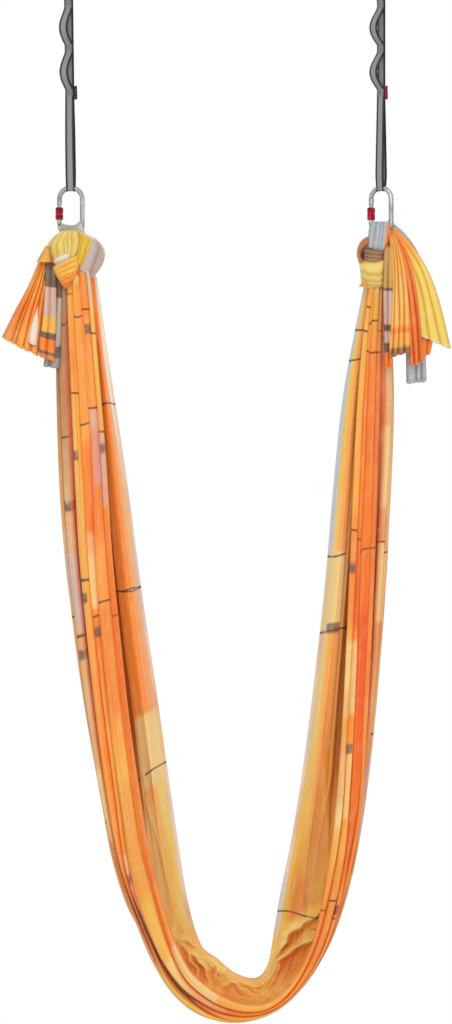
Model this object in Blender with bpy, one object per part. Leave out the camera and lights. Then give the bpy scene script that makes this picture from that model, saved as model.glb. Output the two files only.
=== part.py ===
"""Aerial yoga hammock: a long cloth knotted to two steel screw-gate carabiners.

Each carabiner hangs in the end loop of a daisy-chain strap. The origin is the
midpoint of the line on which the two top loops bear. +Z is up, +X runs from the
left strap to the right one, and the viewer of the front stands at -Y.
"""
import math

import bmesh
import bpy
from mathutils import Matrix, Vector

MM = 0.001

# Clearances
SEAT_GAP = 0.3 * MM
RUNNING_GAP = 0.45 * MM
CUT_OVERRUN = 2.0 * MM

# The two hanging lines
ANCHOR_SPACING = 643.0 * MM
LEAN_IN = {"left": 7.0 * MM, "right": 0.0 * MM}
SIDES = {"left": -1, "right": 1}
CARABINER_YAW = {"left": math.radians(-9), "right": math.radians(-33)}
STRAP_YAW = {"left": math.radians(-24), "right": math.radians(-38)}

# Daisy-chain strap, a sewn sling of flat webbing
WEBBING_WIDTH = 19.5 * MM
WEBBING_THICKNESS = 1.8 * MM
TOP_LOOP_LENGTH = 110.0 * MM
TOP_LOOP_RADIUS = 10.0 * MM
TACK_COUNT = 4
TACK_HEIGHT = 15.0 * MM
END_LOOP_OVERLAP = 11.5 * MM
POCKET_PITCH = 91.0 * MM
POCKET_BULGE = 26.0 * MM
POCKET_STEPS = 8
POCKET_SAG_SHARE = 0.85
POCKET_FULLNESS = 1.2
BOTTOM_LOOP_LENGTH = 192.4 * MM
CUP_SPREAD = 3.0 * MM
CUP_DROP = 3.8 * MM
CUP_SHAPE = 1.15
CUP_FADE = 26.0 * MM
LOOP_STEPS = 12
TWIST_STEPS = 4

# Bar tacks and the folded tab
TACK_WIDTH = 14.0 * MM
TACK_PAD = 0.7 * MM
TACK_CORE_WIDTH = 10.0 * MM
TACK_CORE_HEIGHT = 2.4 * MM
TAB_REACH = 7.5 * MM
TAB_HEIGHT = 28.0 * MM
TAB_THICKNESS = 1.0 * MM

# Steel oval carabiner
BAR_RADIUS = 5.25 * MM
BOW_RADIUS = 24.0 * MM
STRAIGHT_HALF = 24.75 * MM
BAR_SIDES = 12
BOW_STEPS = 12
HINGE_Z = -24.0 * MM
HINGE_SHOULDER = 5.7 * MM
LUG_THICKNESS = 3.8 * MM
LUG_HALF_WIDTH = 4.0 * MM
GATE_OPEN = math.radians(24)
PLUNGER_STROKE = 1.2 * MM
CAM_RISE_ANGLE = math.radians(40)
CAM_RISE = PLUNGER_STROKE * CAM_RISE_ANGLE / GATE_OPEN
CAM_STEPS = 14
LUG_EMBED = 1.0 * MM
NOSE_Z = 27.8 * MM
NOSE_LENGTH = 13.6 * MM
NOSE_THICKNESS = 3.6 * MM
NOSE_HALF_WIDTH = 4.2 * MM
NOTCH_TOOTH = 0.6 * MM
NOTCH_STEPS = 8

# Gate, its pins, plunger and spring
STEM_RADIUS = 5.2 * MM
THREAD_RADIUS = 5.3 * MM
NECK_RADIUS = 4.3 * MM
HEAD_RADIUS = 5.2 * MM
HEAD_CHAMFER = 0.8 * MM
HEAD_LENGTH = 13.4 * MM
NECK_LENGTH = 5.1 * MM
GATE_SIDES = 16
GATE_SLOT_CLEARANCE = 0.3 * MM
SLOT_RUN = 7.0 * MM
CAM_CLEARANCE = 0.7 * MM
LATCH_PIN_RADIUS = 1.5 * MM
LATCH_PIN_DROP = 5.2 * MM
LATCH_PIN_HALF = 4.8 * MM
RIVET_RADIUS = 1.7 * MM
RIVET_HEAD_RADIUS = 2.9 * MM
RIVET_HEAD_HEIGHT = 0.9 * MM
PLUNGER_RADIUS = 1.8 * MM
PLUNGER_LENGTH = 7.8 * MM
BORE_RADIUS = 2.25 * MM
BORE_LENGTH = 17.5 * MM
SPRING_WIRE = 0.5 * MM
SPRING_TURNS = 5
SPRING_TURN_POINTS = 8
PIN_SIDES = 12

# Screw sleeve, resting unlocked
SLEEVE_RADIUS = 8.2 * MM
SLEEVE_LENGTH = 25.6 * MM
SLEEVE_TOP_Z = 8.5 * MM
SLEEVE_BORE = THREAD_RADIUS + RUNNING_GAP
SLEEVE_CHAMFER = 1.4 * MM
SLEEVE_WAIST = 0.6 * MM
SLEEVE_FLUTE = 0.5 * MM
SLEEVE_FLUTES = 14

# Cloth arch over the bottom bow
ARCH_TOP = 26.2 * MM
ARCH_LEG = 18.0 * MM
ARCH_TOP_HALF = 15.8 * MM
ARCH_LEG_HALF = 20.5 * MM
ARCH_CROWN = 2.5 * MM
ARCH_PLEAT = 1.1 * MM
ARCH_GAP = 0.4 * MM
ARCH_INNER_POINTS = 7
ARCH_OUTER_POINTS = 9
ARCH_ANGLES = (-90, -68, -45, -22, 0, 22, 45, 68, 90)
ARCH_TOP_SPAN = math.radians(60)
ARCH_LEG_SPAN = math.radians(55)

# Knots
KNOT_WIDTH = 116.0 * MM
KNOT_DEPTH = 92.0 * MM
KNOT_HEIGHT = 98.0 * MM
KNOT_POINTS = 28
KNOT_RINGS = 17
KNOT_SQUARENESS = 0.85
KNOT_FOLDS = 7
KNOT_PLEAT = 2.6 * MM
KNOT_TWIST = math.radians(75)
WRAP_SWELL = 6.5 * MM
WRAP_HALF_SHARE = 0.17

# Hanging cloth between the knots
SLING_DROP = 1509.0 * MM
SLING_DEPTH = 200.0 * MM
SLING_FRONT_FOLDS = 6
SLING_BACK_FOLDS = 4
SLING_INNER_POINTS = 7
SLING_RINGS = 41
SLING_PLEAT = 7.0 * MM
SLING_ROUNDNESS = 0.62
SLING_WALL_SHARE = 0.80
OUTLINE_STEPS = 48

# Tails
TAIL_THICKNESS = 7.0 * MM
TAIL_PLEAT = 9.0 * MM
TAIL_POINTS = 13
TAIL_RINGS = 8
FLAP_THICKNESS = 9.0 * MM
FLAP_POINTS = 12
FLAP_RINGS = 6

# Finish: colour, roughness, metallic
STEEL_FINISH = ((0.52, 0.53, 0.55, 1), 0.28, 1.0)
DARK_STEEL_FINISH = ((0.36, 0.37, 0.39, 1), 0.35, 1.0)
RED_FINISH = ((0.45, 0.01, 0.03, 1), 0.30, 0.9)
WEBBING_FINISH = ((0.10, 0.10, 0.11, 1), 0.85, 0.0)
THREAD_FINISH = ((0.55, 0.56, 0.58, 1), 0.80, 0.0)
TAB_FINISH = {
    "left": ((0.02, 0.02, 0.02, 1), 0.80, 0.0),
    "right": ((0.25, 0.01, 0.02, 1), 0.70, 0.0),
}
ORANGE_FINISH = ((0.85, 0.28, 0.05, 1), 0.50, 0.0)
GOLD_FINISH = ((0.85, 0.55, 0.16, 1), 0.50, 0.0)
BEIGE_FINISH = ((0.55, 0.48, 0.44, 1), 0.55, 0.0)

# Heights that follow from the sizes above
STRAP_LENGTH = TOP_LOOP_LENGTH + (TACK_COUNT - 1) * POCKET_PITCH + TACK_HEIGHT + BOTTOM_LOOP_LENGTH
BOW_Z = -STRAP_LENGTH + SEAT_GAP + BAR_RADIUS
CARABINER_Z = BOW_Z - BOW_RADIUS - STRAIGHT_HALF
BOTTOM_BOW_Z = -STRAIGHT_HALF - BOW_RADIUS
KNOT_TOP_Z = CARABINER_Z + BOTTOM_BOW_Z - BAR_RADIUS - 2 * SEAT_GAP
KNOT_BOTTOM_Z = KNOT_TOP_Z - KNOT_HEIGHT
STRAND_GAP = (WEBBING_THICKNESS + SEAT_GAP) / 2

# Hanging cloth, left knot to right knot. Each row holds the outer contour and
# the back lip, each across (shares of half the bow spacing) and down (shares of
# the drop), then the front lip and the trough floor as shares of the way from
# the outer contour to the back lip, and the depth as a share of the full depth.
SLING_ROW_SHARES = (
    (-1.090, 0.000, -0.825, 0.000, 0.86, 0.80, 0.32),
    (-1.096, 0.110, -0.752, 0.107, 0.86, 0.74, 0.36),
    (-1.080, 0.245, -0.662, 0.232, 0.85, 0.70, 0.40),
    (-1.044, 0.358, -0.593, 0.339, 0.84, 0.68, 0.42),
    (-0.980, 0.475, -0.524, 0.447, 0.83, 0.66, 0.44),
    (-0.899, 0.597, -0.448, 0.554, 0.80, 0.62, 0.48),
    (-0.805, 0.710, -0.380, 0.656, 0.76, 0.56, 0.54),
    (-0.690, 0.812, -0.322, 0.740, 0.70, 0.46, 0.66),
    (-0.535, 0.892, -0.251, 0.835, 0.64, 0.38, 0.82),
    (-0.370, 0.954, -0.165, 0.897, 0.62, 0.32, 0.94),
    (-0.170, 0.990, -0.060, 0.917, 0.58, 0.28, 1.00),
    (0.039, 1.000, 0.064, 0.938, 0.55, 0.28, 1.00),
    (0.270, 0.989, 0.195, 0.944, 0.42, 0.24, 0.98),
    (0.458, 0.960, 0.271, 0.925, 0.34, 0.18, 0.94),
    (0.640, 0.906, 0.309, 0.882, 0.32, 0.18, 0.84),
    (0.780, 0.829, 0.355, 0.824, 0.40, 0.24, 0.70),
    (0.875, 0.735, 0.430, 0.745, 0.46, 0.34, 0.58),
    (0.941, 0.630, 0.503, 0.646, 0.54, 0.44, 0.50),
    (0.988, 0.525, 0.568, 0.540, 0.60, 0.50, 0.45),
    (1.035, 0.400, 0.638, 0.408, 0.64, 0.54, 0.42),
    (1.077, 0.263, 0.696, 0.266, 0.68, 0.58, 0.40),
    (1.096, 0.140, 0.762, 0.140, 0.74, 0.62, 0.36),
    (1.064, 0.000, 0.890, 0.000, 0.82, 0.74, 0.32),
)

# Knots, top to bottom: height, left edge, right edge, front edge, back edge, as
# shares of the knot's height, width and depth about the hanging line
KNOT_ROW_SHARES = {
    "left": (
        (0.00, -0.30, 0.31, -0.30, 0.30),
        (0.07, -0.38, 0.40, -0.42, 0.38),
        (0.18, -0.43, 0.47, -0.50, 0.46),
        (0.30, -0.44, 0.55, -0.46, 0.48),
        (0.42, -0.42, 0.60, -0.50, 0.50),
        (0.52, -0.38, 0.59, -0.44, 0.47),
        (0.64, -0.36, 0.53, -0.48, 0.44),
        (0.76, -0.31, 0.47, -0.42, 0.38),
        (0.86, -0.29, 0.42, -0.44, 0.36),
        (1.00, -0.25, 0.46, -0.38, 0.34),
    ),
    "right": (
        (0.00, -0.27, 0.24, -0.30, 0.30),
        (0.07, -0.36, 0.24, -0.40, 0.36),
        (0.18, -0.42, 0.18, -0.46, 0.42),
        (0.30, -0.40, 0.16, -0.38, 0.40),
        (0.42, -0.35, 0.15, -0.42, 0.42),
        (0.52, -0.39, 0.13, -0.48, 0.45),
        (0.64, -0.36, 0.12, -0.43, 0.42),
        (0.76, -0.38, 0.11, -0.47, 0.43),
        (0.86, -0.34, 0.12, -0.41, 0.38),
        (1.00, -0.31, 0.18, -0.38, 0.34),
    ),
}

# The turn of cloth over each knot: its tilt and its level, shares of the height
WRAP_COURSE_SHARES = {"left": (-0.22, 0.48), "right": (0.16, 0.62)}

# Tails, knot to hem: left edge across and down, right edge across and down, and
# the depth, as shares of half the bow spacing, the drop and the knot's depth
TAIL_ROW_SHARES = {
    "left": (
        (-1.150, -0.032, -1.085, -0.032, -0.30),
        (-1.240, -0.018, -1.100, -0.020, -0.48),
        (-1.290, 0.015, -1.085, 0.015, -0.58),
        (-1.350, 0.045, -1.080, 0.055, -0.62),
        (-1.440, 0.070, -1.075, 0.112, -0.66),
    ),
    "right": (
        (1.020, -0.050, 1.070, -0.072, -0.16),
        (1.025, -0.030, 1.150, -0.055, -0.42),
        (1.028, 0.010, 1.262, -0.026, -0.58),
        (1.026, 0.060, 1.350, 0.020, -0.64),
        (1.020, 0.112, 1.440, 0.087, -0.68),
    ),
}

# Lower lobe of the left knot: down, left edge, right edge, depth
FLAP_ROW_SHARES = (
    (-0.040, -1.100, -0.960, -0.36),
    (-0.020, -1.085, -0.945, -0.50),
    (0.004, -1.025, -1.010, -0.56),
)


def material(name, finish):
    """A Principled material from a colour, a roughness and a metallic value."""
    colour, roughness, metallic = finish
    made = bpy.data.materials.new(name)
    made.use_nodes = True
    shader = made.node_tree.nodes["Principled BSDF"]
    shader.inputs["Base Color"].default_value = colour
    shader.inputs["Roughness"].default_value = roughness
    shader.inputs["Metallic"].default_value = metallic
    made.diffuse_color = colour
    return made


def add_object(name, bm, mat, smooth=False, parent=None, origin=None):
    """Turns a bmesh into an object whose origin is set at the given point."""
    bmesh.ops.recalc_face_normals(bm, faces=bm.faces)
    origin = Vector(origin) if origin else Vector()
    bmesh.ops.translate(bm, verts=bm.verts, vec=-origin)
    mesh = bpy.data.meshes.new(name)
    bm.to_mesh(mesh)
    bm.free()
    if smooth:
        mesh.shade_smooth()
        mesh.set_sharp_from_angle(angle=math.radians(35))
    if mat:
        mesh.materials.append(mat)
    made = bpy.data.objects.new(name, mesh)
    bpy.context.scene.collection.objects.link(made)
    made.parent = parent
    made.location = origin
    return made


def loft_mesh(rings, closed=False):
    """Joins rings of equal point counts, with a cap at each end unless closed.

    Each step is two triangles, so two lofts through like rings bend alike.
    """
    bm = bmesh.new()
    loops = [[bm.verts.new(point) for point in ring] for ring in rings]
    count = len(loops[0])
    pairs = list(zip(loops, loops[1:]))
    if closed:
        pairs.append((loops[-1], loops[0]))
    for low, high in pairs:
        for i in range(count):
            j = (i + 1) % count
            bm.faces.new((low[i], low[j], high[j]))
            bm.faces.new((low[i], high[j], high[i]))
    if not closed:
        bm.faces.new(loops[0])
        bm.faces.new(loops[-1])
    return bm


def lathe_mesh(profile, sides):
    """Turns (radius, height) points about Z, with points on the axis at both ends."""
    bm = bmesh.new()
    bottom = bm.verts.new((0, 0, profile[0][1]))
    top = bm.verts.new((0, 0, profile[-1][1]))
    loops = []
    for radius, height in profile[1:-1]:
        angles = [2 * math.pi * k / sides for k in range(sides)]
        loops.append([bm.verts.new((radius * math.cos(a), radius * math.sin(a), height)) for a in angles])
    for low, high in zip(loops, loops[1:]):
        for i in range(sides):
            j = (i + 1) % sides
            bm.faces.new((low[i], low[j], high[j], high[i]))
    for i in range(sides):
        j = (i + 1) % sides
        bm.faces.new((bottom, loops[0][j], loops[0][i]))
        bm.faces.new((top, loops[-1][i], loops[-1][j]))
    return bm


def prism_mesh(outline, thickness):
    """Extrudes an outline in XZ to both sides of Y = 0."""
    front = [(x, -thickness / 2, z) for x, z in outline]
    back = [(x, thickness / 2, z) for x, z in outline]
    return loft_mesh([front, back])


def box_mesh(low, high):
    """A box between two corners."""
    bm = bmesh.new()
    bmesh.ops.create_cube(bm, size=1)
    for vert in bm.verts:
        vert.co = Vector([lo if c < 0 else hi for c, lo, hi in zip(vert.co, low, high)])
    return bm


def pin_mesh(radius, half_length, centre, sides=PIN_SIDES):
    """A round pin along Y."""
    rings = []
    for y in (-half_length, half_length):
        angles = [2 * math.pi * k / sides for k in range(sides)]
        rings.append([centre + Vector((radius * math.cos(a), y, radius * math.sin(a))) for a in angles])
    return loft_mesh(rings)


def combine(target, operand, operation="DIFFERENCE"):
    """Cuts the operand from the target, or joins it on."""
    operand.hide_render = True
    operand.display_type = "WIRE"
    step = target.modifiers.new(operand.name, "BOOLEAN")
    step.operation = operation
    step.object = operand


def smooth_rows(rows, count):
    """Reads evenly spaced rows from a Catmull-Rom curve through the given rows."""
    read = []
    last = len(rows) - 1
    for k in range(count):
        place = last * k / (count - 1)
        i = min(int(place), last - 1)
        t = place - i
        before, low = rows[max(i - 1, 0)], rows[i]
        high, after = rows[i + 1], rows[min(i + 2, last)]
        row = []
        for a, b, c, d in zip(before, low, high, after):
            bend = (2 * a - 5 * b + 4 * c - d) * t * t + (3 * b - a - 3 * c + d) * t ** 3
            row.append(b + ((c - a) * t + bend) / 2)
        read.append(row)
    return read


def bow_x(side):
    """Where a hanging line meets its carabiner."""
    return SIDES[side] * (ANCHOR_SPACING / 2 - LEAN_IN[side])


def half_bow_spacing():
    return (bow_x("right") - bow_x("left")) / 2


def middle_x():
    return (bow_x("right") + bow_x("left")) / 2


def strap_point(side, across, through, height):
    """Maps a place on a strap, twisted and leaning, into the world."""
    last_tack = -(STRAP_LENGTH - BOTTOM_LOOP_LENGTH)
    share = min(max((height - BOW_Z) / (last_tack - BOW_Z), 0), 1)
    ease = share * share * (3 - 2 * share)
    yaw = CARABINER_YAW[side] + (STRAP_YAW[side] - CARABINER_YAW[side]) * ease
    lean = SIDES[side] * LEAN_IN[side] * (height - BOW_Z) / -BOW_Z
    x = across * math.cos(yaw) - through * math.sin(yaw)
    y = across * math.sin(yaw) + through * math.cos(yaw)
    return Vector((bow_x(side) + lean + x, y, height))


def tack_top(index):
    return -TOP_LOOP_LENGTH - index * POCKET_PITCH


def end_loop_foot():
    """Where the end loop's two strands meet the rest, behind the first tack."""
    return tack_top(0) - END_LOOP_OVERLAP


def end_loop_path():
    """The end loop's centreline: (through, height, outward normal, cup).

    It runs up from behind the first tack, over the top and back down to it.
    """
    front = (-1, 0)
    back = (1, 0)
    path = [(-STRAND_GAP, end_loop_foot(), front, 0), (-STRAND_GAP, tack_top(0), front, 0)]
    radius = TOP_LOOP_RADIUS + WEBBING_THICKNESS / 2
    for k in range(LOOP_STEPS + 1):
        angle = math.pi * k / LOOP_STEPS
        normal = (-math.cos(angle), math.sin(angle))
        path.append((radius * normal[0], radius * normal[1] - TOP_LOOP_RADIUS, normal, 0))
    path.append((STRAND_GAP, tack_top(0), back, 0))
    path.append((STRAND_GAP, end_loop_foot(), back, 0))
    return path


def sling_path():
    """The rest of the strap's centreline, down the back and up the pockets."""
    half = WEBBING_THICKNESS / 2
    back = (1, 0)
    top = end_loop_foot() - SEAT_GAP
    path = [(STRAND_GAP, top, back, 0)]
    path.append((STRAND_GAP, tack_top(TACK_COUNT - 1) - TACK_HEIGHT, back, 0))
    bow_strand = BAR_RADIUS + SEAT_GAP + half
    tack_foot = tack_top(TACK_COUNT - 1) - TACK_HEIGHT
    run = [(k + 1) / TWIST_STEPS for k in range(TWIST_STEPS)]
    fade_top = BOW_Z + CUP_FADE
    for share in run[:-1]:
        path.append(run_point(share, tack_foot, fade_top, bow_strand, 1))
    path.append((bow_strand, fade_top, back, 0))
    for k in range(LOOP_STEPS + 1):
        angle = math.pi * k / LOOP_STEPS
        normal = (math.cos(angle), -math.sin(angle))
        path.append((bow_strand * normal[0], BOW_Z + bow_strand * normal[1], normal, 1))
    front = (-1, 0)
    path.append((-bow_strand, fade_top, front, 0))
    for share in reversed(run[:-1]):
        path.append(run_point(share, tack_foot, fade_top, bow_strand, -1))
    for index in reversed(range(TACK_COUNT)):
        path.append((-STRAND_GAP, tack_top(index) - TACK_HEIGHT, front, 0))
        if index:
            path.append((-STRAND_GAP, tack_top(index), front, 0))
            path.extend(pocket_points(index))
    path.append((-STRAND_GAP, top, front, 0))
    return path


def run_point(share, top, foot, reach, sign):
    """A strand of the bottom loop as it spreads from the last tack to the bow."""
    through = STRAND_GAP + (reach - STRAND_GAP) * share
    return (sign * through, top + (foot - top) * share, (sign, 0), 0)


def pocket_points(index):
    """The slack front strand between two tacks, hanging a little low."""
    low = tack_top(index)
    length = POCKET_PITCH - TACK_HEIGHT
    points = []
    for k in range(1, POCKET_STEPS):
        share = k / POCKET_STEPS
        phase = math.pi * share ** POCKET_SAG_SHARE
        swell = math.sin(phase) ** POCKET_FULLNESS
        slope = POCKET_BULGE * math.pi * math.cos(phase) / length
        length_of_normal = math.hypot(1, slope)
        normal = (-1 / length_of_normal, -slope / length_of_normal)
        points.append((-STRAND_GAP - POCKET_BULGE * swell, low + length * share, normal, 0))
    return points


def strap_rings(side, path):
    """Sections of flat webbing along a path, cupped where the bow spreads it."""
    rings = []
    half = WEBBING_THICKNESS / 2
    shares = (-1, -0.5, 0, 0.5, 1)
    for through, height, normal, cup in path:
        outer = []
        inner = []
        for share in shares:
            across = share * WEBBING_WIDTH / 2
            curl = cup * abs(share) ** CUP_SHAPE
            spread = CUP_SPREAD * curl
            drop = CUP_DROP * curl
            for points, offset in ((outer, half), (inner, -half)):
                reach = offset + spread
                t = through + normal[0] * reach
                z = height + normal[1] * reach - drop
                points.append(strap_point(side, across, t, z))
        rings.append(outer + inner[::-1])
    return rings


def make_strap(side, webbing, thread, tab_material):
    """One sewn sling, its end loop a node of its own, with its tacks and tab."""
    loop = add_object(f"{side}_strap_end_loop", loft_mesh(strap_rings(side, end_loop_path())), webbing)
    sling = add_object(f"{side}_strap_webbing", loft_mesh(strap_rings(side, sling_path())), webbing)
    for index in range(TACK_COUNT):
        make_tack(side, index, sling if index else loop, thread)
    make_tab(side, tab_material)


def strap_box(side, across, through, heights):
    """A box in the strap's own directions, given by its low and high values."""
    rings = []
    for height in heights:
        corners = ((0, 0), (1, 0), (1, 1), (0, 1))
        rings.append([strap_point(side, across[i], through[j], height) for i, j in corners])
    return loft_mesh(rings)


def make_tack(side, index, sling, thread):
    """Stitching that holds both strands: a pad on each face and a core between."""
    middle = tack_top(index) - TACK_HEIGHT / 2
    face = STRAND_GAP + WEBBING_THICKNESS / 2 + SEAT_GAP
    pad = (TACK_WIDTH / 2, TACK_HEIGHT / 2)
    core = (TACK_CORE_WIDTH / 2, TACK_CORE_HEIGHT / 2)
    stations = (
        (-face - TACK_PAD, pad),
        (-face, pad),
        (-face, core),
        (face, core),
        (face, pad),
        (face + TACK_PAD, pad),
    )
    rings = []
    for through, (half_width, half_height) in stations:
        corners = ((-1, -1), (1, -1), (1, 1), (-1, 1))
        rings.append(
            [strap_point(side, i * half_width, through, middle + j * half_height) for i, j in corners]
        )
    add_object(f"{side}_bar_tack_{index + 1}", loft_mesh(rings), thread)
    slot = add_object(
        f"{side}_tack_slot_{index + 1}",
        strap_box(
            side,
            (-core[0] - SEAT_GAP, core[0] + SEAT_GAP),
            (-face - CUT_OVERRUN, face + CUT_OVERRUN),
            (middle - core[1] - SEAT_GAP, middle + core[1] + SEAT_GAP),
        ),
        None,
    )
    combine(sling, slot)


def make_tab(side, mat):
    """The short folded tab behind the last tack."""
    start = TACK_WIDTH / 2 + SEAT_GAP
    face = STRAND_GAP + WEBBING_THICKNESS / 2 + SEAT_GAP
    middle = tack_top(TACK_COUNT - 1) - TACK_HEIGHT / 2
    box = strap_box(
        side,
        (start, start + TAB_REACH),
        (face, face + TAB_THICKNESS),
        (middle - TAB_HEIGHT / 2, middle + TAB_HEIGHT / 2),
    )
    add_object(f"{side}_strap_tab", box, mat)


def carabiner_frame(side):
    """An empty on the bow's centre, turned as the carabiner hangs."""
    frame = bpy.data.objects.new(f"{side}_carabiner_frame", None)
    bpy.context.scene.collection.objects.link(frame)
    frame.location = (bow_x(side), 0, CARABINER_Z)
    frame.rotation_euler = (0, 0, CARABINER_YAW[side])
    return frame


def oval_path():
    """Bar centreline from the nose over the top bow and spine to the hinge."""
    path = []
    nose_turn = math.asin((NOSE_Z - STRAIGHT_HALF) / BOW_RADIUS)
    for k in range(BOW_STEPS + 1):
        angle = math.pi - nose_turn - (math.pi - nose_turn) * k / BOW_STEPS
        path.append((BOW_RADIUS * math.cos(angle), STRAIGHT_HALF + BOW_RADIUS * math.sin(angle)))
    path.append((BOW_RADIUS, 0))
    shoulder_z = HINGE_Z - HINGE_SHOULDER
    hinge_turn = math.asin((-STRAIGHT_HALF - shoulder_z) / BOW_RADIUS)
    for k in range(BOW_STEPS + 1):
        angle = -(math.pi - hinge_turn) * k / BOW_STEPS
        path.append((BOW_RADIUS * math.cos(angle), -STRAIGHT_HALF + BOW_RADIUS * math.sin(angle)))
    return path


def bar_mesh(path):
    """A round bar along a path in XZ, cut level at both ends."""
    rings = []
    last = len(path) - 1
    for i, (x, z) in enumerate(path):
        before, after = path[max(i - 1, 0)], path[min(i + 1, last)]
        tangent = Vector((after[0] - before[0], 0, after[1] - before[1])).normalized()
        if i in (0, last):
            tangent = Vector((0, 0, 1))
        side = Vector((0, 1, 0))
        inward = tangent.cross(side).normalized()
        ring = []
        for k in range(BAR_SIDES):
            angle = 2 * math.pi * (k + 0.5) / BAR_SIDES
            ring.append(Vector((x, 0, z)) + BAR_RADIUS * (math.cos(angle) * side + math.sin(angle) * inward))
        rings.append(ring)
    return loft_mesh(rings)


def cam_outline():
    """The lug about the hinge pin: a cam that pushes the plunger as the gate opens."""
    outline = [(-LUG_HALF_WIDTH, -HINGE_SHOULDER - LUG_EMBED), (-LUG_HALF_WIDTH, 0)]
    for k in range(1, CAM_STEPS):
        angle = -math.pi / 2 + math.pi * k / CAM_STEPS
        rise = min(max(angle / CAM_RISE_ANGLE, 0), 1)
        fall = min(max((math.pi / 2 - angle) / (math.pi / 2 - CAM_RISE_ANGLE), 0), 1)
        radius = LUG_HALF_WIDTH + CAM_RISE * min(rise, fall)
        outline.append((radius * math.sin(angle), radius * math.cos(angle)))
    outline.extend([(LUG_HALF_WIDTH, 0), (LUG_HALF_WIDTH, -HINGE_SHOULDER - LUG_EMBED)])
    return [(x - BOW_RADIUS, z + HINGE_Z) for x, z in outline]


def nose_outline():
    """The hooked nose that the latch pin drops into."""
    seat = LATCH_PIN_RADIUS + RUNNING_GAP
    pin_z = NOSE_Z - LATCH_PIN_DROP
    outline = [
        (-NOSE_HALF_WIDTH, NOSE_Z + LUG_EMBED),
        (-NOSE_HALF_WIDTH, NOSE_Z - NOSE_LENGTH),
        (NOSE_HALF_WIDTH, NOSE_Z - NOSE_LENGTH),
        (NOSE_HALF_WIDTH, pin_z - seat - RUNNING_GAP),
        (NOSE_HALF_WIDTH - NOTCH_TOOTH, pin_z - seat - RUNNING_GAP),
    ]
    for k in range(NOTCH_STEPS + 1):
        angle = -math.pi / 2 - math.pi * k / NOTCH_STEPS
        drop = NOTCH_TOOTH + RUNNING_GAP if k == 0 else 0
        outline.append((seat * math.cos(angle), pin_z + seat * math.sin(angle) - drop))
    outline.extend([(NOSE_HALF_WIDTH, pin_z + seat), (NOSE_HALF_WIDTH, NOSE_Z + LUG_EMBED)])
    return [(x - BOW_RADIUS, z) for x, z in outline]


def make_carabiner(side, steel, dark_steel, red):
    """Body, gate, sleeve, pins, plunger and spring of one carabiner."""
    frame = carabiner_frame(side)
    hinge = Vector((-BOW_RADIUS, 0, HINGE_Z))
    latch = Vector((-BOW_RADIUS, 0, NOSE_Z - LATCH_PIN_DROP))

    body = add_object(f"{side}_carabiner_body", bar_mesh(oval_path()), steel, True, frame)
    lug = add_object(f"{side}_hinge_lug", prism_mesh(cam_outline(), LUG_THICKNESS), None, False, frame)
    nose = add_object(f"{side}_nose", prism_mesh(nose_outline(), NOSE_THICKNESS), None, False, frame)
    combine(body, lug, "UNION")
    combine(body, nose, "UNION")
    hole = pin_mesh(RIVET_RADIUS + SEAT_GAP, BAR_RADIUS, hinge)
    hinge_hole = add_object(f"{side}_lug_hole", hole, None, False, frame)
    combine(body, hinge_hole)

    make_gate(side, frame, hinge, latch, steel)
    make_sleeve(side, frame, red)

    rivet_half = STEM_RADIUS + SEAT_GAP + RIVET_HEAD_HEIGHT
    add_object(f"{side}_gate_rivet", rivet_mesh(hinge, rivet_half), dark_steel, True, frame, hinge)
    pin = pin_mesh(LATCH_PIN_RADIUS, LATCH_PIN_HALF, latch)
    add_object(f"{side}_latch_pin", pin, dark_steel, True, frame, latch)
    make_plunger_and_spring(side, frame, dark_steel)


def rivet_mesh(centre, half_length):
    """A rivet along Y with a low domed head at each end."""
    head = half_length - RIVET_HEAD_HEIGHT
    profile = (
        (RIVET_HEAD_RADIUS / 2, half_length),
        (RIVET_HEAD_RADIUS, head),
        (RIVET_RADIUS, head),
    )
    stations = [(r, -y) for r, y in profile] + [(r, y) for r, y in reversed(profile)]
    rings = []
    for radius, y in stations:
        angles = [2 * math.pi * k / PIN_SIDES for k in range(PIN_SIDES)]
        rings.append([centre + Vector((radius * math.cos(a), y, radius * math.sin(a))) for a in angles])
    return loft_mesh(rings)


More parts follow.
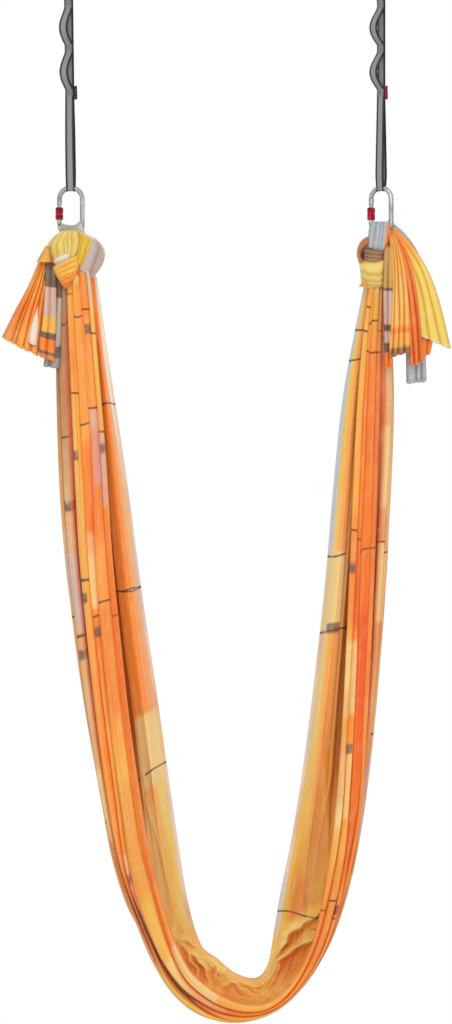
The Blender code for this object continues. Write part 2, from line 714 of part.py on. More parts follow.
def make_gate(side, frame, hinge, latch, steel):
    """The gate: forked at the hinge and at the nose, threaded between."""
    head_top = NOSE_Z - 2 * SEAT_GAP
    head_foot = head_top - HEAD_LENGTH
    thread_top = head_foot - NECK_LENGTH
    thread_foot = SLEEVE_TOP_Z - SLEEVE_LENGTH
    profile = [(0, HINGE_Z - STEM_RADIUS)]
    for degrees in (-60, -30, 0):
        angle = math.radians(degrees)
        profile.append((STEM_RADIUS * math.cos(angle), HINGE_Z + STEM_RADIUS * math.sin(angle)))
    profile.extend(
        [
            (STEM_RADIUS, thread_foot),
            (THREAD_RADIUS, thread_foot),
            (THREAD_RADIUS, thread_top),
            (NECK_RADIUS, thread_top),
            (NECK_RADIUS, head_foot),
            (HEAD_RADIUS, head_foot + HEAD_CHAMFER),
            (HEAD_RADIUS, head_top - HEAD_CHAMFER),
            (HEAD_RADIUS - HEAD_CHAMFER, head_top),
            (0, head_top),
        ]
    )
    bm = lathe_mesh(profile, GATE_SIDES)
    bmesh.ops.translate(bm, verts=bm.verts, vec=(-BOW_RADIUS, 0, 0))
    gate = add_object(f"{side}_gate", bm, steel, True, frame, hinge)

    cam_top = HINGE_Z + LUG_HALF_WIDTH + CAM_RISE + CAM_CLEARANCE
    lug_slot = LUG_THICKNESS / 2 + GATE_SLOT_CLEARANCE
    nose_slot = NOSE_THICKNESS / 2 + GATE_SLOT_CLEARANCE
    low = (-BOW_RADIUS - SLOT_RUN, -lug_slot, HINGE_Z - SLOT_RUN)
    high = (-BOW_RADIUS + SLOT_RUN, lug_slot, cam_top)
    cutters = [("hinge_slot", box_mesh(low, high))]
    low = (-BOW_RADIUS - SLOT_RUN, -nose_slot, NOSE_Z - NOSE_LENGTH - CAM_CLEARANCE)
    high = (-BOW_RADIUS + SLOT_RUN, nose_slot, NOSE_Z + CUT_OVERRUN)
    cutters.append(("nose_slot", box_mesh(low, high)))
    cutters.append(("rivet_hole", pin_mesh(RIVET_RADIUS + SEAT_GAP, SLOT_RUN, hinge)))
    cutters.append(("latch_hole", pin_mesh(LATCH_PIN_RADIUS + SEAT_GAP, SLOT_RUN, latch)))
    bore_foot = cam_top - CUT_OVERRUN
    bore_top = cam_top + BORE_LENGTH
    profile = [(0, bore_foot), (BORE_RADIUS, bore_foot), (BORE_RADIUS, bore_top), (0, bore_top)]
    bore = lathe_mesh(profile, PIN_SIDES)
    bmesh.ops.translate(bore, verts=bore.verts, vec=(-BOW_RADIUS, 0, 0))
    cutters.append(("spring_bore", bore))
    for name, mesh in cutters:
        combine(gate, add_object(f"{side}_{name}", mesh, None, False, frame))


def make_sleeve(side, frame, red):
    """The fluted screw sleeve round the gate's thread."""
    foot = SLEEVE_TOP_Z - SLEEVE_LENGTH
    count = 2 * SLEEVE_FLUTES
    rows = (
        (SLEEVE_RADIUS - SLEEVE_CHAMFER, 0, 0),
        (SLEEVE_RADIUS, SLEEVE_CHAMFER, SLEEVE_FLUTE),
        (SLEEVE_RADIUS, SLEEVE_LENGTH / 3, SLEEVE_FLUTE),
        (SLEEVE_RADIUS - SLEEVE_WAIST, SLEEVE_LENGTH / 2, SLEEVE_FLUTE),
        (SLEEVE_RADIUS, 2 * SLEEVE_LENGTH / 3, SLEEVE_FLUTE),
        (SLEEVE_RADIUS, SLEEVE_LENGTH - SLEEVE_CHAMFER, SLEEVE_FLUTE),
        (SLEEVE_RADIUS - SLEEVE_CHAMFER, SLEEVE_LENGTH, 0),
        (SLEEVE_BORE, SLEEVE_LENGTH, 0),
        (SLEEVE_BORE, 0, 0),
    )
    rings = []
    for radius, height, flute in rows:
        ring = []
        for k in range(count):
            angle = 2 * math.pi * k / count
            r = radius - flute * (k % 2)
            ring.append((r * math.cos(angle) - BOW_RADIUS, r * math.sin(angle), foot + height))
        rings.append(ring)
    mesh = loft_mesh(rings, closed=True)
    add_object(f"{side}_screw_sleeve", mesh, red, True, frame, (-BOW_RADIUS, 0, foot))


def make_plunger_and_spring(side, frame, dark_steel):
    """The round-nosed plunger that rides the cam, and the coil spring behind it."""
    tip = HINGE_Z + LUG_HALF_WIDTH + SEAT_GAP
    profile = [(0, tip)]
    for degrees in (-60, -30, 0):
        angle = math.radians(degrees)
        height = tip + PLUNGER_RADIUS * (1 + math.sin(angle))
        profile.append((PLUNGER_RADIUS * math.cos(angle), height))
    plunger_top = tip + PLUNGER_LENGTH
    profile.extend([(PLUNGER_RADIUS, plunger_top), (0, plunger_top)])
    bm = lathe_mesh(profile, PIN_SIDES)
    bmesh.ops.translate(bm, verts=bm.verts, vec=(-BOW_RADIUS, 0, 0))
    add_object(f"{side}_gate_plunger", bm, dark_steel, True, frame, (-BOW_RADIUS, 0, tip))

    bore_top = HINGE_Z + LUG_HALF_WIDTH + CAM_RISE + CAM_CLEARANCE + BORE_LENGTH
    low = plunger_top + SEAT_GAP + SPRING_WIRE / 2
    high = bore_top - SEAT_GAP - SPRING_WIRE / 2
    radius = PLUNGER_RADIUS - SPRING_WIRE / 2
    curve = bpy.data.curves.new(f"{side}_gate_spring", "CURVE")
    curve.dimensions = "3D"
    curve.bevel_depth = SPRING_WIRE / 2
    curve.bevel_resolution = 0
    curve.use_fill_caps = True
    steps = SPRING_TURNS * SPRING_TURN_POINTS
    points = []
    for k in range(steps + 1):
        angle = 2 * math.pi * k / SPRING_TURN_POINTS
        height = low + (high - low) * k / steps
        points.append(Vector((radius * math.cos(angle), radius * math.sin(angle), height)))
    spline = curve.splines.new("POLY")
    spline.points.add(len(points) - 1)
    for place, point in zip(spline.points, points):
        place.co = (point.x, point.y, point.z, 1)
    pitch = (high - low) / SPRING_TURNS
    print(f"{side}_gate_spring least gap between turns: {(pitch - SPRING_WIRE) / MM:.2f} mm")
    spring = bpy.data.objects.new(f"{side}_gate_spring", curve)
    curve.materials.append(dark_steel)
    bpy.context.scene.collection.objects.link(spring)
    spring.parent = frame
    spring.location = (-BOW_RADIUS, 0, 0)


def make_arch(side, mat):
    """The gathered cloth that passes through the carabiner over its bottom bow."""
    frame = Matrix.Translation((bow_x(side), 0, CARABINER_Z)) @ Matrix.Rotation(CARABINER_YAW[side], 4, "Z")
    clear = BAR_RADIUS + ARCH_GAP
    foot_z = BOTTOM_BOW_Z - BAR_RADIUS - SEAT_GAP
    rings = [arch_foot(-1, clear, foot_z)]
    for degrees in ARCH_ANGLES:
        angle = math.radians(degrees)
        turn = abs(math.sin(angle))
        span = ARCH_TOP_SPAN + (ARCH_LEG_SPAN - ARCH_TOP_SPAN) * turn
        ring = []
        for k in range(ARCH_INNER_POINTS):
            beta = span * (2 * k / (ARCH_INNER_POINTS - 1) - 1)
            reach = BOW_RADIUS - clear * math.cos(angle)
            ring.append(
                (
                    reach * math.sin(beta),
                    clear * math.sin(angle),
                    -STRAIGHT_HALF - reach * math.cos(beta),
                )
            )
        half = ARCH_TOP_HALF + (ARCH_LEG_HALF - ARCH_TOP_HALF) * turn
        crest = 1 / math.hypot(math.cos(angle) / ARCH_TOP, math.sin(angle) / ARCH_LEG)
        for k in range(ARCH_OUTER_POINTS):
            share = 1 - 2 * k / (ARCH_OUTER_POINTS - 1)
            radius = crest - ARCH_CROWN * share * share - ARCH_PLEAT * (k % 2)
            ring.append((half * share, radius * math.sin(angle), BOTTOM_BOW_Z + radius * math.cos(angle)))
        rings.append(ring)
    rings.append(arch_foot(1, clear, foot_z))
    placed = [[frame @ Vector(point) for point in ring] for ring in rings]
    add_object(f"{side}_carabiner_wrap", loft_mesh(placed), mat)


def arch_foot(sign, clear, foot_z):
    """The level end of one leg, just above the knot."""
    ring = []
    for k in range(ARCH_INNER_POINTS):
        share = 2 * k / (ARCH_INNER_POINTS - 1) - 1
        ring.append((ARCH_LEG_HALF * share, sign * clear, foot_z))
    for k in range(ARCH_OUTER_POINTS):
        share = 1 - 2 * k / (ARCH_OUTER_POINTS - 1)
        ring.append((ARCH_LEG_HALF * share, sign * (ARCH_LEG - ARCH_PLEAT * (k % 2)), foot_z))
    return ring


def wrap_swell(side, angle, height):
    """How far the turn of cloth that crosses the knot stands out at a place."""
    tilt, level = WRAP_COURSE_SHARES[side]
    away = abs(height - level - tilt * math.cos(angle)) / WRAP_HALF_SHARE
    return WRAP_SWELL * math.cos(math.pi / 2 * min(away, 1))


def knot_rings(side, grow=0.0):
    """Level rings of a knot: twisted folds, with one turn lying slantwise over them."""
    rings = []
    for height, left, right, front, back in smooth_rows(KNOT_ROW_SHARES[side], KNOT_RINGS):
        z = KNOT_TOP_Z - height * KNOT_HEIGHT
        centre = Vector((bow_x(side) + (left + right) * KNOT_WIDTH / 2, (front + back) * KNOT_DEPTH / 2, z))
        taper = math.sin(math.pi * height)
        half_x = (right - left) * KNOT_WIDTH / 2 - WRAP_SWELL * taper + grow
        half_y = (back - front) * KNOT_DEPTH / 2 - WRAP_SWELL * taper + grow
        ring = []
        for k in range(KNOT_POINTS):
            angle = 2 * math.pi * k / KNOT_POINTS
            fold = KNOT_PLEAT * math.cos(KNOT_FOLDS * (angle + KNOT_TWIST * height))
            swell = taper * (wrap_swell(side, angle, height) + fold)
            x = (half_x + swell) * math.copysign(abs(math.cos(angle)) ** KNOT_SQUARENESS, math.cos(angle))
            y = (half_y + swell) * math.copysign(abs(math.sin(angle)) ** KNOT_SQUARENESS, math.sin(angle))
            ring.append(centre + Vector((x, y, 0)))
        rings.append(ring)
    return rings


def grown_knot(side, name):
    """The knot with its seat gap added, to cut what rests against it."""
    rings = knot_rings(side, SEAT_GAP)
    for point in rings[0]:
        point.z += SEAT_GAP
    for point in rings[-1]:
        point.z -= SEAT_GAP
    return add_object(name, loft_mesh(rings), None)


def across_to_x(share):
    return middle_x() + share * half_bow_spacing()


def down_to_z(share):
    return KNOT_BOTTOM_Z - SEAT_GAP - share * SLING_DROP


def even_points(line, count):
    """Places at equal distances along a line of (rise, reach) points, ends left in."""
    lengths = [0.0]
    for (a, b), (c, d) in zip(line, line[1:]):
        lengths.append(lengths[-1] + math.hypot(c - a, d - b))
    places = []
    i = 0
    for k in range(count):
        wanted = lengths[-1] * k / (count - 1)
        while i < len(line) - 2 and lengths[i + 1] < wanted:
            i += 1
        t = (wanted - lengths[i]) / (lengths[i + 1] - lengths[i])
        (a, b), (c, d) = line[i], line[i + 1]
        places.append((a + (c - a) * t, b + (d - b) * t))
    return places


def wall_line(lip, reach, width):
    """One wall of the trough in metres, from its lip down and round to the outer contour."""
    line = []
    for k in range(OUTLINE_STEPS + 1):
        angle = math.pi / 2 * k / OUTLINE_STEPS
        rise = lip * width * (1 - math.sin(angle) ** SLING_ROUNDNESS)
        line.append((rise, reach * math.cos(angle) ** SLING_ROUNDNESS))
    return line


def sling_outline(front, floor, depth, width):
    """A trough section in metres: (rise from the outer contour, depth, fold) points."""
    front_wall = even_points(wall_line(front, -depth, width), 2 * SLING_FRONT_FOLDS + 1)
    back_wall = even_points(wall_line(1, depth, width), 2 * SLING_BACK_FOLDS + 1)
    outer = front_wall + back_wall[-2::-1]
    points = [(rise, reach, k % 2) for k, (rise, reach) in enumerate(outer)]
    inner = SLING_INNER_POINTS
    for k in range(1, inner + 1):
        angle = math.pi * k / (inner + 1)
        lip = 1 if angle < math.pi / 2 else front
        rise = lip - (lip - floor) * math.sin(angle) ** SLING_ROUNDNESS
        points.append((rise * width, depth * SLING_WALL_SHARE * math.cos(angle), 0))
    return points


def make_sling(mat):
    """The gathered cloth from knot to knot, opening into the seat at the bottom."""
    rings = []
    for row in smooth_rows(SLING_ROW_SHARES, SLING_RINGS):
        outer_x, outer_z, lip_x, lip_z, front, floor, depth = row
        outer = Vector((across_to_x(outer_x), 0, down_to_z(outer_z)))
        lip = Vector((across_to_x(lip_x), 0, down_to_z(lip_z)))
        rise_way = lip - outer
        width = rise_way.length
        centre = outer + rise_way / 2
        ring = []
        for rise, reach, fold in sling_outline(front, floor, depth * SLING_DEPTH / 2, width):
            point = outer + rise_way / width * rise + Vector((0, reach, 0))
            point += (centre - point).normalized() * SLING_PLEAT * fold
            ring.append(point)
        rings.append(ring)
    add_object("hammock_cloth", loft_mesh(rings), mat)


def make_tail(side, mat):
    """A free end of the cloth, fanning out from the knot in open pleats."""
    rings = []
    for row in smooth_rows(TAIL_ROW_SHARES[side], TAIL_RINGS):
        left_x, left_z, right_x, right_z, depth = row
        left = Vector((across_to_x(left_x), depth * KNOT_DEPTH, down_to_z(left_z)))
        right = Vector((across_to_x(right_x), depth * KNOT_DEPTH, down_to_z(right_z)))
        width = (right - left).length
        swing = min(TAIL_PLEAT, width / TAIL_POINTS * 2)
        front = []
        back = []
        for k in range(TAIL_POINTS):
            share = k / (TAIL_POINTS - 1)
            point = left.lerp(right, share)
            zigzag = swing * (k % 2 - 0.5)
            front.append(point + Vector((0, zigzag - TAIL_THICKNESS / 2, 0)))
            back.append(point + Vector((0, zigzag + TAIL_THICKNESS / 2, 0)))
        rings.append(front + back[::-1])
    tail = add_object(f"{side}_tail", loft_mesh(rings), mat)
    combine(tail, grown_knot(side, f"{side}_knot_for_tail"))


def make_flap(mat):
    """The pointed lower lobe of the left knot, hanging in front of the strand."""
    rings = []
    for down, left, right, depth in smooth_rows(FLAP_ROW_SHARES, FLAP_RINGS):
        z = down_to_z(down)
        centre = Vector((across_to_x((left + right) / 2), depth * KNOT_DEPTH, z))
        half = (right - left) * half_bow_spacing() / 2
        ring = []
        for k in range(FLAP_POINTS):
            angle = 2 * math.pi * k / FLAP_POINTS
            ring.append(centre + Vector((half * math.cos(angle), FLAP_THICKNESS / 2 * math.sin(angle), 0)))
        rings.append(ring)
    flap = add_object("left_knot_lobe", loft_mesh(rings), mat)
    combine(flap, grown_knot("left", "left_knot_for_lobe"))


def build():
    for old in list(bpy.data.objects):
        bpy.data.objects.remove(old, do_unlink=True)
    steel = material("polished_steel", STEEL_FINISH)
    dark_steel = material("pin_steel", DARK_STEEL_FINISH)
    red = material("red_anodised", RED_FINISH)
    webbing = material("grey_black_webbing", WEBBING_FINISH)
    thread = material("pale_thread", THREAD_FINISH)
    orange = material("orange_tricot", ORANGE_FINISH)
    gold = material("gold_tricot", GOLD_FINISH)
    beige = material("beige_tricot", BEIGE_FINISH)
    make_sling(orange)
    for side in SIDES:
        make_strap(side, webbing, thread, material(f"{side}_tab_fabric", TAB_FINISH[side]))
        make_carabiner(side, steel, dark_steel, red)
        make_arch(side, beige)
        add_object(f"{side}_knot", loft_mesh(knot_rings(side)), gold)
        make_tail(side, gold)
    make_flap(orange)


build()
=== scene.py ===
"""Looks of the aerial hammock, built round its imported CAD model.

Lengths are in metres. The viewer of the front stands at -Y.
"""
import math

import bpy
import numpy as np
from mathutils import Matrix, Vector


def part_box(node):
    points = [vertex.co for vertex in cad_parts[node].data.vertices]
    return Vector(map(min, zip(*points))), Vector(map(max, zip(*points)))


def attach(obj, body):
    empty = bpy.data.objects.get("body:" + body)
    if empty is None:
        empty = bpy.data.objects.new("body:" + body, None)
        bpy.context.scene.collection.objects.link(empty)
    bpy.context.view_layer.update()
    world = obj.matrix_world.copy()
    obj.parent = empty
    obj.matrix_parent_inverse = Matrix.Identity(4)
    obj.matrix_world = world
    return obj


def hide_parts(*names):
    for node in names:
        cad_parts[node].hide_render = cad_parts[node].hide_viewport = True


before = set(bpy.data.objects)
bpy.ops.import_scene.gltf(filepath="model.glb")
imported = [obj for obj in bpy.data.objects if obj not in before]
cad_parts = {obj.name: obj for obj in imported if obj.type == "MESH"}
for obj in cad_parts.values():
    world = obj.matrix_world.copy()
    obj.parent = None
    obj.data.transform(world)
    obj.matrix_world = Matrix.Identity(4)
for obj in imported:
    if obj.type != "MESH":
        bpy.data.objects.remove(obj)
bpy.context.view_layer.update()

MM = 0.001
SIDES = {"left": -1, "right": 1}

# The photograph in pixels: its middle column, its height, and how far its top
# row lies below the origin. The shift puts its middle column in the part's frame
PIXEL = 2.05 * MM
PHOTO_MIDDLE, PHOTO_HEIGHT, PHOTO_TOP = 226, 1024, 97.6
PHOTO_SHIFT = 3.46 * MM

# Sizes that the CAD source also has
HALF_BOW = 0.318
MIDDLE_X = 0.0035
BOW_X = {side: MIDDLE_X + sign * HALF_BOW for side, sign in SIDES.items()}
LEAN_IN = {"left": 7.0 * MM, "right": 0.0}
CARABINER_YAW = {"left": math.radians(-9), "right": math.radians(-33)}
STRAP_YAW = {"left": math.radians(-24), "right": math.radians(-38)}
BAR_RADIUS = 5.25 * MM
BOW_RADIUS = 24 * MM
STRAIGHT_HALF = 24.75 * MM
BOW_Z = -0.58485
CARABINER_Z = BOW_Z - BOW_RADIUS - STRAIGHT_HALF
KNOT_TOP = CARABINER_Z - STRAIGHT_HALF - BOW_RADIUS - BAR_RADIUS - 0.6 * MM
KNOT_WIDTH, KNOT_DEPTH, KNOT_HEIGHT = 116 * MM, 92 * MM, 98 * MM
KNOT_BOTTOM = KNOT_TOP - KNOT_HEIGHT
SLING_DROP = 1.509
SLING_DEPTH = 0.200

# Hanging cloth, left knot to right knot: outer contour and back lip, each
# across and down, then front lip, trough floor and depth, all as shares
SLING_ROWS = np.array((
    (-1.090, 0.000, -0.825, 0.000, 0.84, 0.80, 0.32),
    (-1.096, 0.110, -0.752, 0.107, 0.80, 0.74, 0.36),
    (-1.080, 0.245, -0.662, 0.232, 0.74, 0.66, 0.40),
    (-1.044, 0.358, -0.593, 0.339, 0.68, 0.60, 0.42),
    (-0.980, 0.475, -0.524, 0.447, 0.64, 0.56, 0.44),
    (-0.899, 0.597, -0.448, 0.554, 0.60, 0.52, 0.48),
    (-0.805, 0.710, -0.380, 0.656, 0.58, 0.48, 0.54),
    (-0.690, 0.812, -0.322, 0.740, 0.56, 0.42, 0.66),
    (-0.535, 0.892, -0.251, 0.835, 0.58, 0.38, 0.82),
    (-0.370, 0.954, -0.165, 0.897, 0.60, 0.32, 0.94),
    (-0.170, 0.990, -0.060, 0.917, 0.56, 0.28, 1.00),
    (0.039, 1.000, 0.064, 0.938, 0.52, 0.28, 1.00),
    (0.270, 0.989, 0.195, 0.944, 0.40, 0.24, 0.98),
    (0.458, 0.960, 0.271, 0.925, 0.33, 0.18, 0.94),
    (0.640, 0.906, 0.309, 0.882, 0.32, 0.18, 0.84),
    (0.780, 0.829, 0.355, 0.824, 0.37, 0.24, 0.70),
    (0.875, 0.735, 0.430, 0.745, 0.42, 0.34, 0.58),
    (0.941, 0.630, 0.503, 0.646, 0.48, 0.42, 0.50),
    (0.988, 0.525, 0.568, 0.540, 0.54, 0.48, 0.45),
    (1.035, 0.400, 0.638, 0.408, 0.62, 0.54, 0.42),
    (1.077, 0.263, 0.696, 0.266, 0.68, 0.58, 0.40),
    (1.096, 0.140, 0.762, 0.140, 0.74, 0.62, 0.36),
    (1.064, 0.000, 0.890, 0.000, 0.82, 0.74, 0.32),
))
ROUNDNESS = 0.62
WALL_SHARE = 0.80

# Knots, top to bottom: height, left, right, front and back edge, as shares
KNOT_ROWS = {
    "left": np.array((
        (0.00, -0.30, 0.31, -0.30, 0.30),
        (0.07, -0.38, 0.40, -0.42, 0.38),
        (0.18, -0.43, 0.47, -0.50, 0.46),
        (0.30, -0.44, 0.55, -0.46, 0.48),
        (0.42, -0.42, 0.60, -0.50, 0.50),
        (0.52, -0.38, 0.59, -0.44, 0.47),
        (0.64, -0.36, 0.53, -0.48, 0.44),
        (0.76, -0.31, 0.47, -0.42, 0.38),
        (0.86, -0.29, 0.42, -0.44, 0.36),
        (1.00, -0.25, 0.46, -0.38, 0.34),
    )),
    "right": np.array((
        (0.00, -0.27, 0.24, -0.30, 0.30),
        (0.07, -0.36, 0.24, -0.40, 0.36),
        (0.18, -0.42, 0.18, -0.46, 0.42),
        (0.30, -0.40, 0.16, -0.38, 0.40),
        (0.42, -0.35, 0.15, -0.42, 0.42),
        (0.52, -0.39, 0.13, -0.48, 0.45),
        (0.64, -0.36, 0.12, -0.43, 0.42),
        (0.76, -0.38, 0.11, -0.47, 0.43),
        (0.86, -0.34, 0.12, -0.41, 0.38),
        (1.00, -0.31, 0.18, -0.38, 0.34),
    )),
}


# Small helpers

def spread(rows, count):
    """Evenly spaced rows on a Catmull-Rom curve through the given rows."""
    rows = np.asarray(rows, float)
    place = np.linspace(0, len(rows) - 1, count)
    i = np.minimum(place.astype(int), len(rows) - 2)
    t = (place - i)[:, None]
    a, b = rows[np.maximum(i - 1, 0)], rows[i]
    c, d = rows[i + 1], rows[np.minimum(i + 2, len(rows) - 1)]
    bend = (c - a) * t + (2 * a - 5 * b + 4 * c - d) * t ** 2 + (3 * b - a - 3 * c + d) * t ** 3
    return b + 0.5 * bend


def waves(seed, count, slow, fast):
    """A smooth wandering value between about -1 and 1, as a function of arrays."""
    rng = np.random.default_rng(seed)
    turn = 2 * math.pi
    parts = [(rng.uniform(slow, fast), rng.uniform(0, turn), rng.uniform(0.5, 1)) for _ in range(count)]
    total = sum(p[2] for p in parts)

    def value(x):
        return sum(w * np.sin(turn * f * x + p) for f, p, w in parts) / total * 1.5

    return value


def from_photo(px, py):
    """Where a pixel of the photograph lies in the hammock's plane: x and z."""
    return (px - PHOTO_MIDDLE) * PIXEL + PHOTO_SHIFT, -(py + PHOTO_TOP) * PIXEL


def to_photo(x, z):
    return (x - PHOTO_SHIFT) / PIXEL + PHOTO_MIDDLE, -z / PIXEL - PHOTO_TOP


def even_turn(share):
    """0 to 1 with a soft start and a soft end."""
    return share * share * (3 - 2 * share)


def mesh_object(name, points, faces, uvs=None, material=None):
    """A smooth mesh from arrays, with its cloth coordinates as a UV map in metres."""
    mesh = bpy.data.meshes.new(name)
    mesh.from_pydata(np.asarray(points).tolist(), [], faces)
    if uvs is not None:
        layer = mesh.uv_layers.new(name="cloth")
        loops = np.zeros(len(mesh.loops), np.int32)
        mesh.loops.foreach_get("vertex_index", loops)
        layer.data.foreach_set("uv", np.asarray(uvs, np.float32)[loops].ravel())
    mesh.shade_smooth()
    mesh.materials.append(material)
    made = bpy.data.objects.new(name, mesh)
    bpy.context.scene.collection.objects.link(made)
    return made


def grid_faces(rows, columns, wrap_rows=False, wrap_columns=False):
    """Quads of a grid whose points are numbered row by row."""
    faces = []
    for i in range(rows - (0 if wrap_rows else 1)):
        for j in range(columns - (0 if wrap_columns else 1)):
            k, m = (i + 1) % rows, (j + 1) % columns
            faces.append((i * columns + j, i * columns + m, k * columns + m, k * columns + j))
    return faces


def grid_object(name, grid, uv, material, wrap_rows=False, wrap_columns=False):
    rows, columns = grid.shape[:2]
    faces = grid_faces(rows, columns, wrap_rows, wrap_columns)
    return mesh_object(name, grid.reshape(-1, 3), faces, uv.reshape(-1, 2), material)


def mark_points(piece, title, values):
    """Stores one value for each point, for the material to read."""
    layer = piece.data.attributes.new(title, "FLOAT", "POINT")
    layer.data.foreach_set("value", np.ascontiguousarray(np.ravel(values), np.float32))


def solidify(piece, thickness):
    step = piece.modifiers.new("thickness", "SOLIDIFY")
    step.thickness = thickness
    step.offset = 0
    step.use_rim = True


# Materials

class Shader:
    """Builds one Principled material from nodes."""

    def __init__(self, name, roughness=0.5, metallic=0.0, **settings):
        self.material = bpy.data.materials.new(name)
        self.material.use_nodes = True
        self.tree = self.material.node_tree
        self.main = self.tree.nodes["Principled BSDF"]
        self.main.inputs["Roughness"].default_value = roughness
        self.main.inputs["Metallic"].default_value = metallic
        for key, value in settings.items():
            self.main.inputs[key.replace("_", " ")].default_value = value

    def put(self, socket, value):
        if isinstance(value, bpy.types.NodeSocket):
            self.tree.links.new(value, socket)
        elif isinstance(value, (tuple, list)) and socket.type == "RGBA":
            socket.default_value = tuple(value) + (1.0,) * (4 - len(value))
        else:
            socket.default_value = value

    def node(self, kind, inputs=(), output=0, **properties):
        made = self.tree.nodes.new("ShaderNode" + kind)
        for key, value in properties.items():
            setattr(made, key, value)
        for key, value in dict(inputs).items():
            self.put(made.inputs[key], value)
        return made.outputs[output]

    def math(self, operation, *values):
        return self.node("Math", enumerate(values), operation=operation)

    def plus(self, a, b):
        return self.math("ADD", a, b)

    def minus(self, a, b):
        return self.math("SUBTRACT", a, b)

    def times(self, product, *others):
        for value in others:
            product = self.math("MULTIPLY", product, value)
        return product

    def mix(self, share, a, b, blend="MIX"):
        inputs = {0: share, 6: a, 7: b}
        return self.node("Mix", inputs, 2, data_type="RGBA", blend_type=blend)

    def lay(self, under, over, *shares):
        """One colour laid over another, as far as the product of the shares says."""
        return self.mix(self.times(*shares), under, over)

    def ramp(self, value, stops):
        made = self.tree.nodes.new("ShaderNodeValToRGB")
        elements = made.color_ramp.elements
        while len(elements) < len(stops):
            elements.new(0.5)
        for element, (place, colour) in zip(elements, stops):
            element.position = place
            element.color = tuple(colour) + (1.0,)
        self.put(made.inputs[0], value)
        return made.outputs[0]

    def step(self, value, low, high):
        """0 at low, 1 at high, smooth between."""
        inputs = {"Value": value, "From Min": low, "From Max": high}
        return self.node("MapRange", inputs, interpolation_type="SMOOTHSTEP")

    def window(self, value, low, full, last, high):
        """1 from full to last, fading to 0 at low and at high."""
        return self.times(self.step(value, low, full), self.step(value, high, last))

    def uv(self, scale=(1, 1, 1), shift=(0, 0, 0)):
        made = self.node("UVMap", uv_map="cloth")
        return self.node("Mapping", {"Vector": made, "Scale": scale, "Location": shift})

    def place(self, scale=(1, 1, 1)):
        made = self.node("TexCoord", output="Object")
        return self.node("Mapping", {"Vector": made, "Scale": scale})

    def split(self, vector):
        """The first two coordinates of a vector."""
        made = self.tree.nodes.new("ShaderNodeSeparateXYZ")
        self.put(made.inputs[0], vector)
        return made.outputs[0], made.outputs[1]

    def mark(self, title):
        """A value that mark_points stored."""
        return self.node("Attribute", output=2, attribute_name=title)

    def noise(self, vector, scale, detail=2.0, rough=0.5, distortion=0.0):
        inputs = {"Vector": vector, "Scale": scale, "Detail": detail}
        return self.node("TexNoise", inputs | {"Roughness": rough, "Distortion": distortion})

    def bump(self, height, strength, distance, normal=None):
        inputs = {"Height": height, "Strength": strength, "Distance": distance}
        if normal is not None:
            inputs["Normal"] = normal
        return self.node("Bump", inputs)

    def finish(self, colour, normal=None, roughness=None):
        for title, value in (("Base Color", colour), ("Normal", normal), ("Roughness", roughness)):
            if value is not None:
                self.put(self.main.inputs[title], value)
        return self.material


def srgb(*values):
    """A linear colour from sRGB values of 0 to 255."""
    shares = [value / 255 for value in values]
    return tuple(c / 12.92 if c <= 0.04045 else ((c + 0.055) / 1.055) ** 2.4 for c in shares)


def shades(places, *colours):
    """Stops of a ramp, from places and sRGB colours."""
    return tuple((place, srgb(*colour)) for place, colour in zip(places, colours))


DEEP = srgb(236, 84, 8)
ORANGE = srgb(250, 134, 30)
LIGHT = srgb(250, 162, 58)
GOLD = srgb(244, 190, 80)
PALE = srgb(246, 212, 138)
LILAC = srgb(206, 190, 190)
DARK = srgb(92, 76, 70)
LINE = srgb(110, 58, 34)
LINE_WIDTH = 0.0052


# Where the hanging cloth changes colour, in metres across and along the flat cloth:
# each zone fades in between its first two values and out between its last two
TAN_ZONE = (0.64, 0.68, 1.26, 1.36)
SEAT_ZONE = (1.46, 1.54, 1.88, 1.96)
CRUMPLED_ZONE = (1.05, 1.45, 1.95, 2.35)
# The second start is where the painted deep orange shade by the front lip begins
GOLD_START, LIP_SHADE_START, HEM_START = (2.20, 2.36), (2.475, 2.53), (2.374, 2.380)
HEM_LIMIT, HEM_WIDER_LEFT, HEM_WIDER_RIGHT = 2.413, 0.060, 0.040
LEFT_TOP, RIGHT_TOP = (0.60, 0.20), (2.50, 2.90)


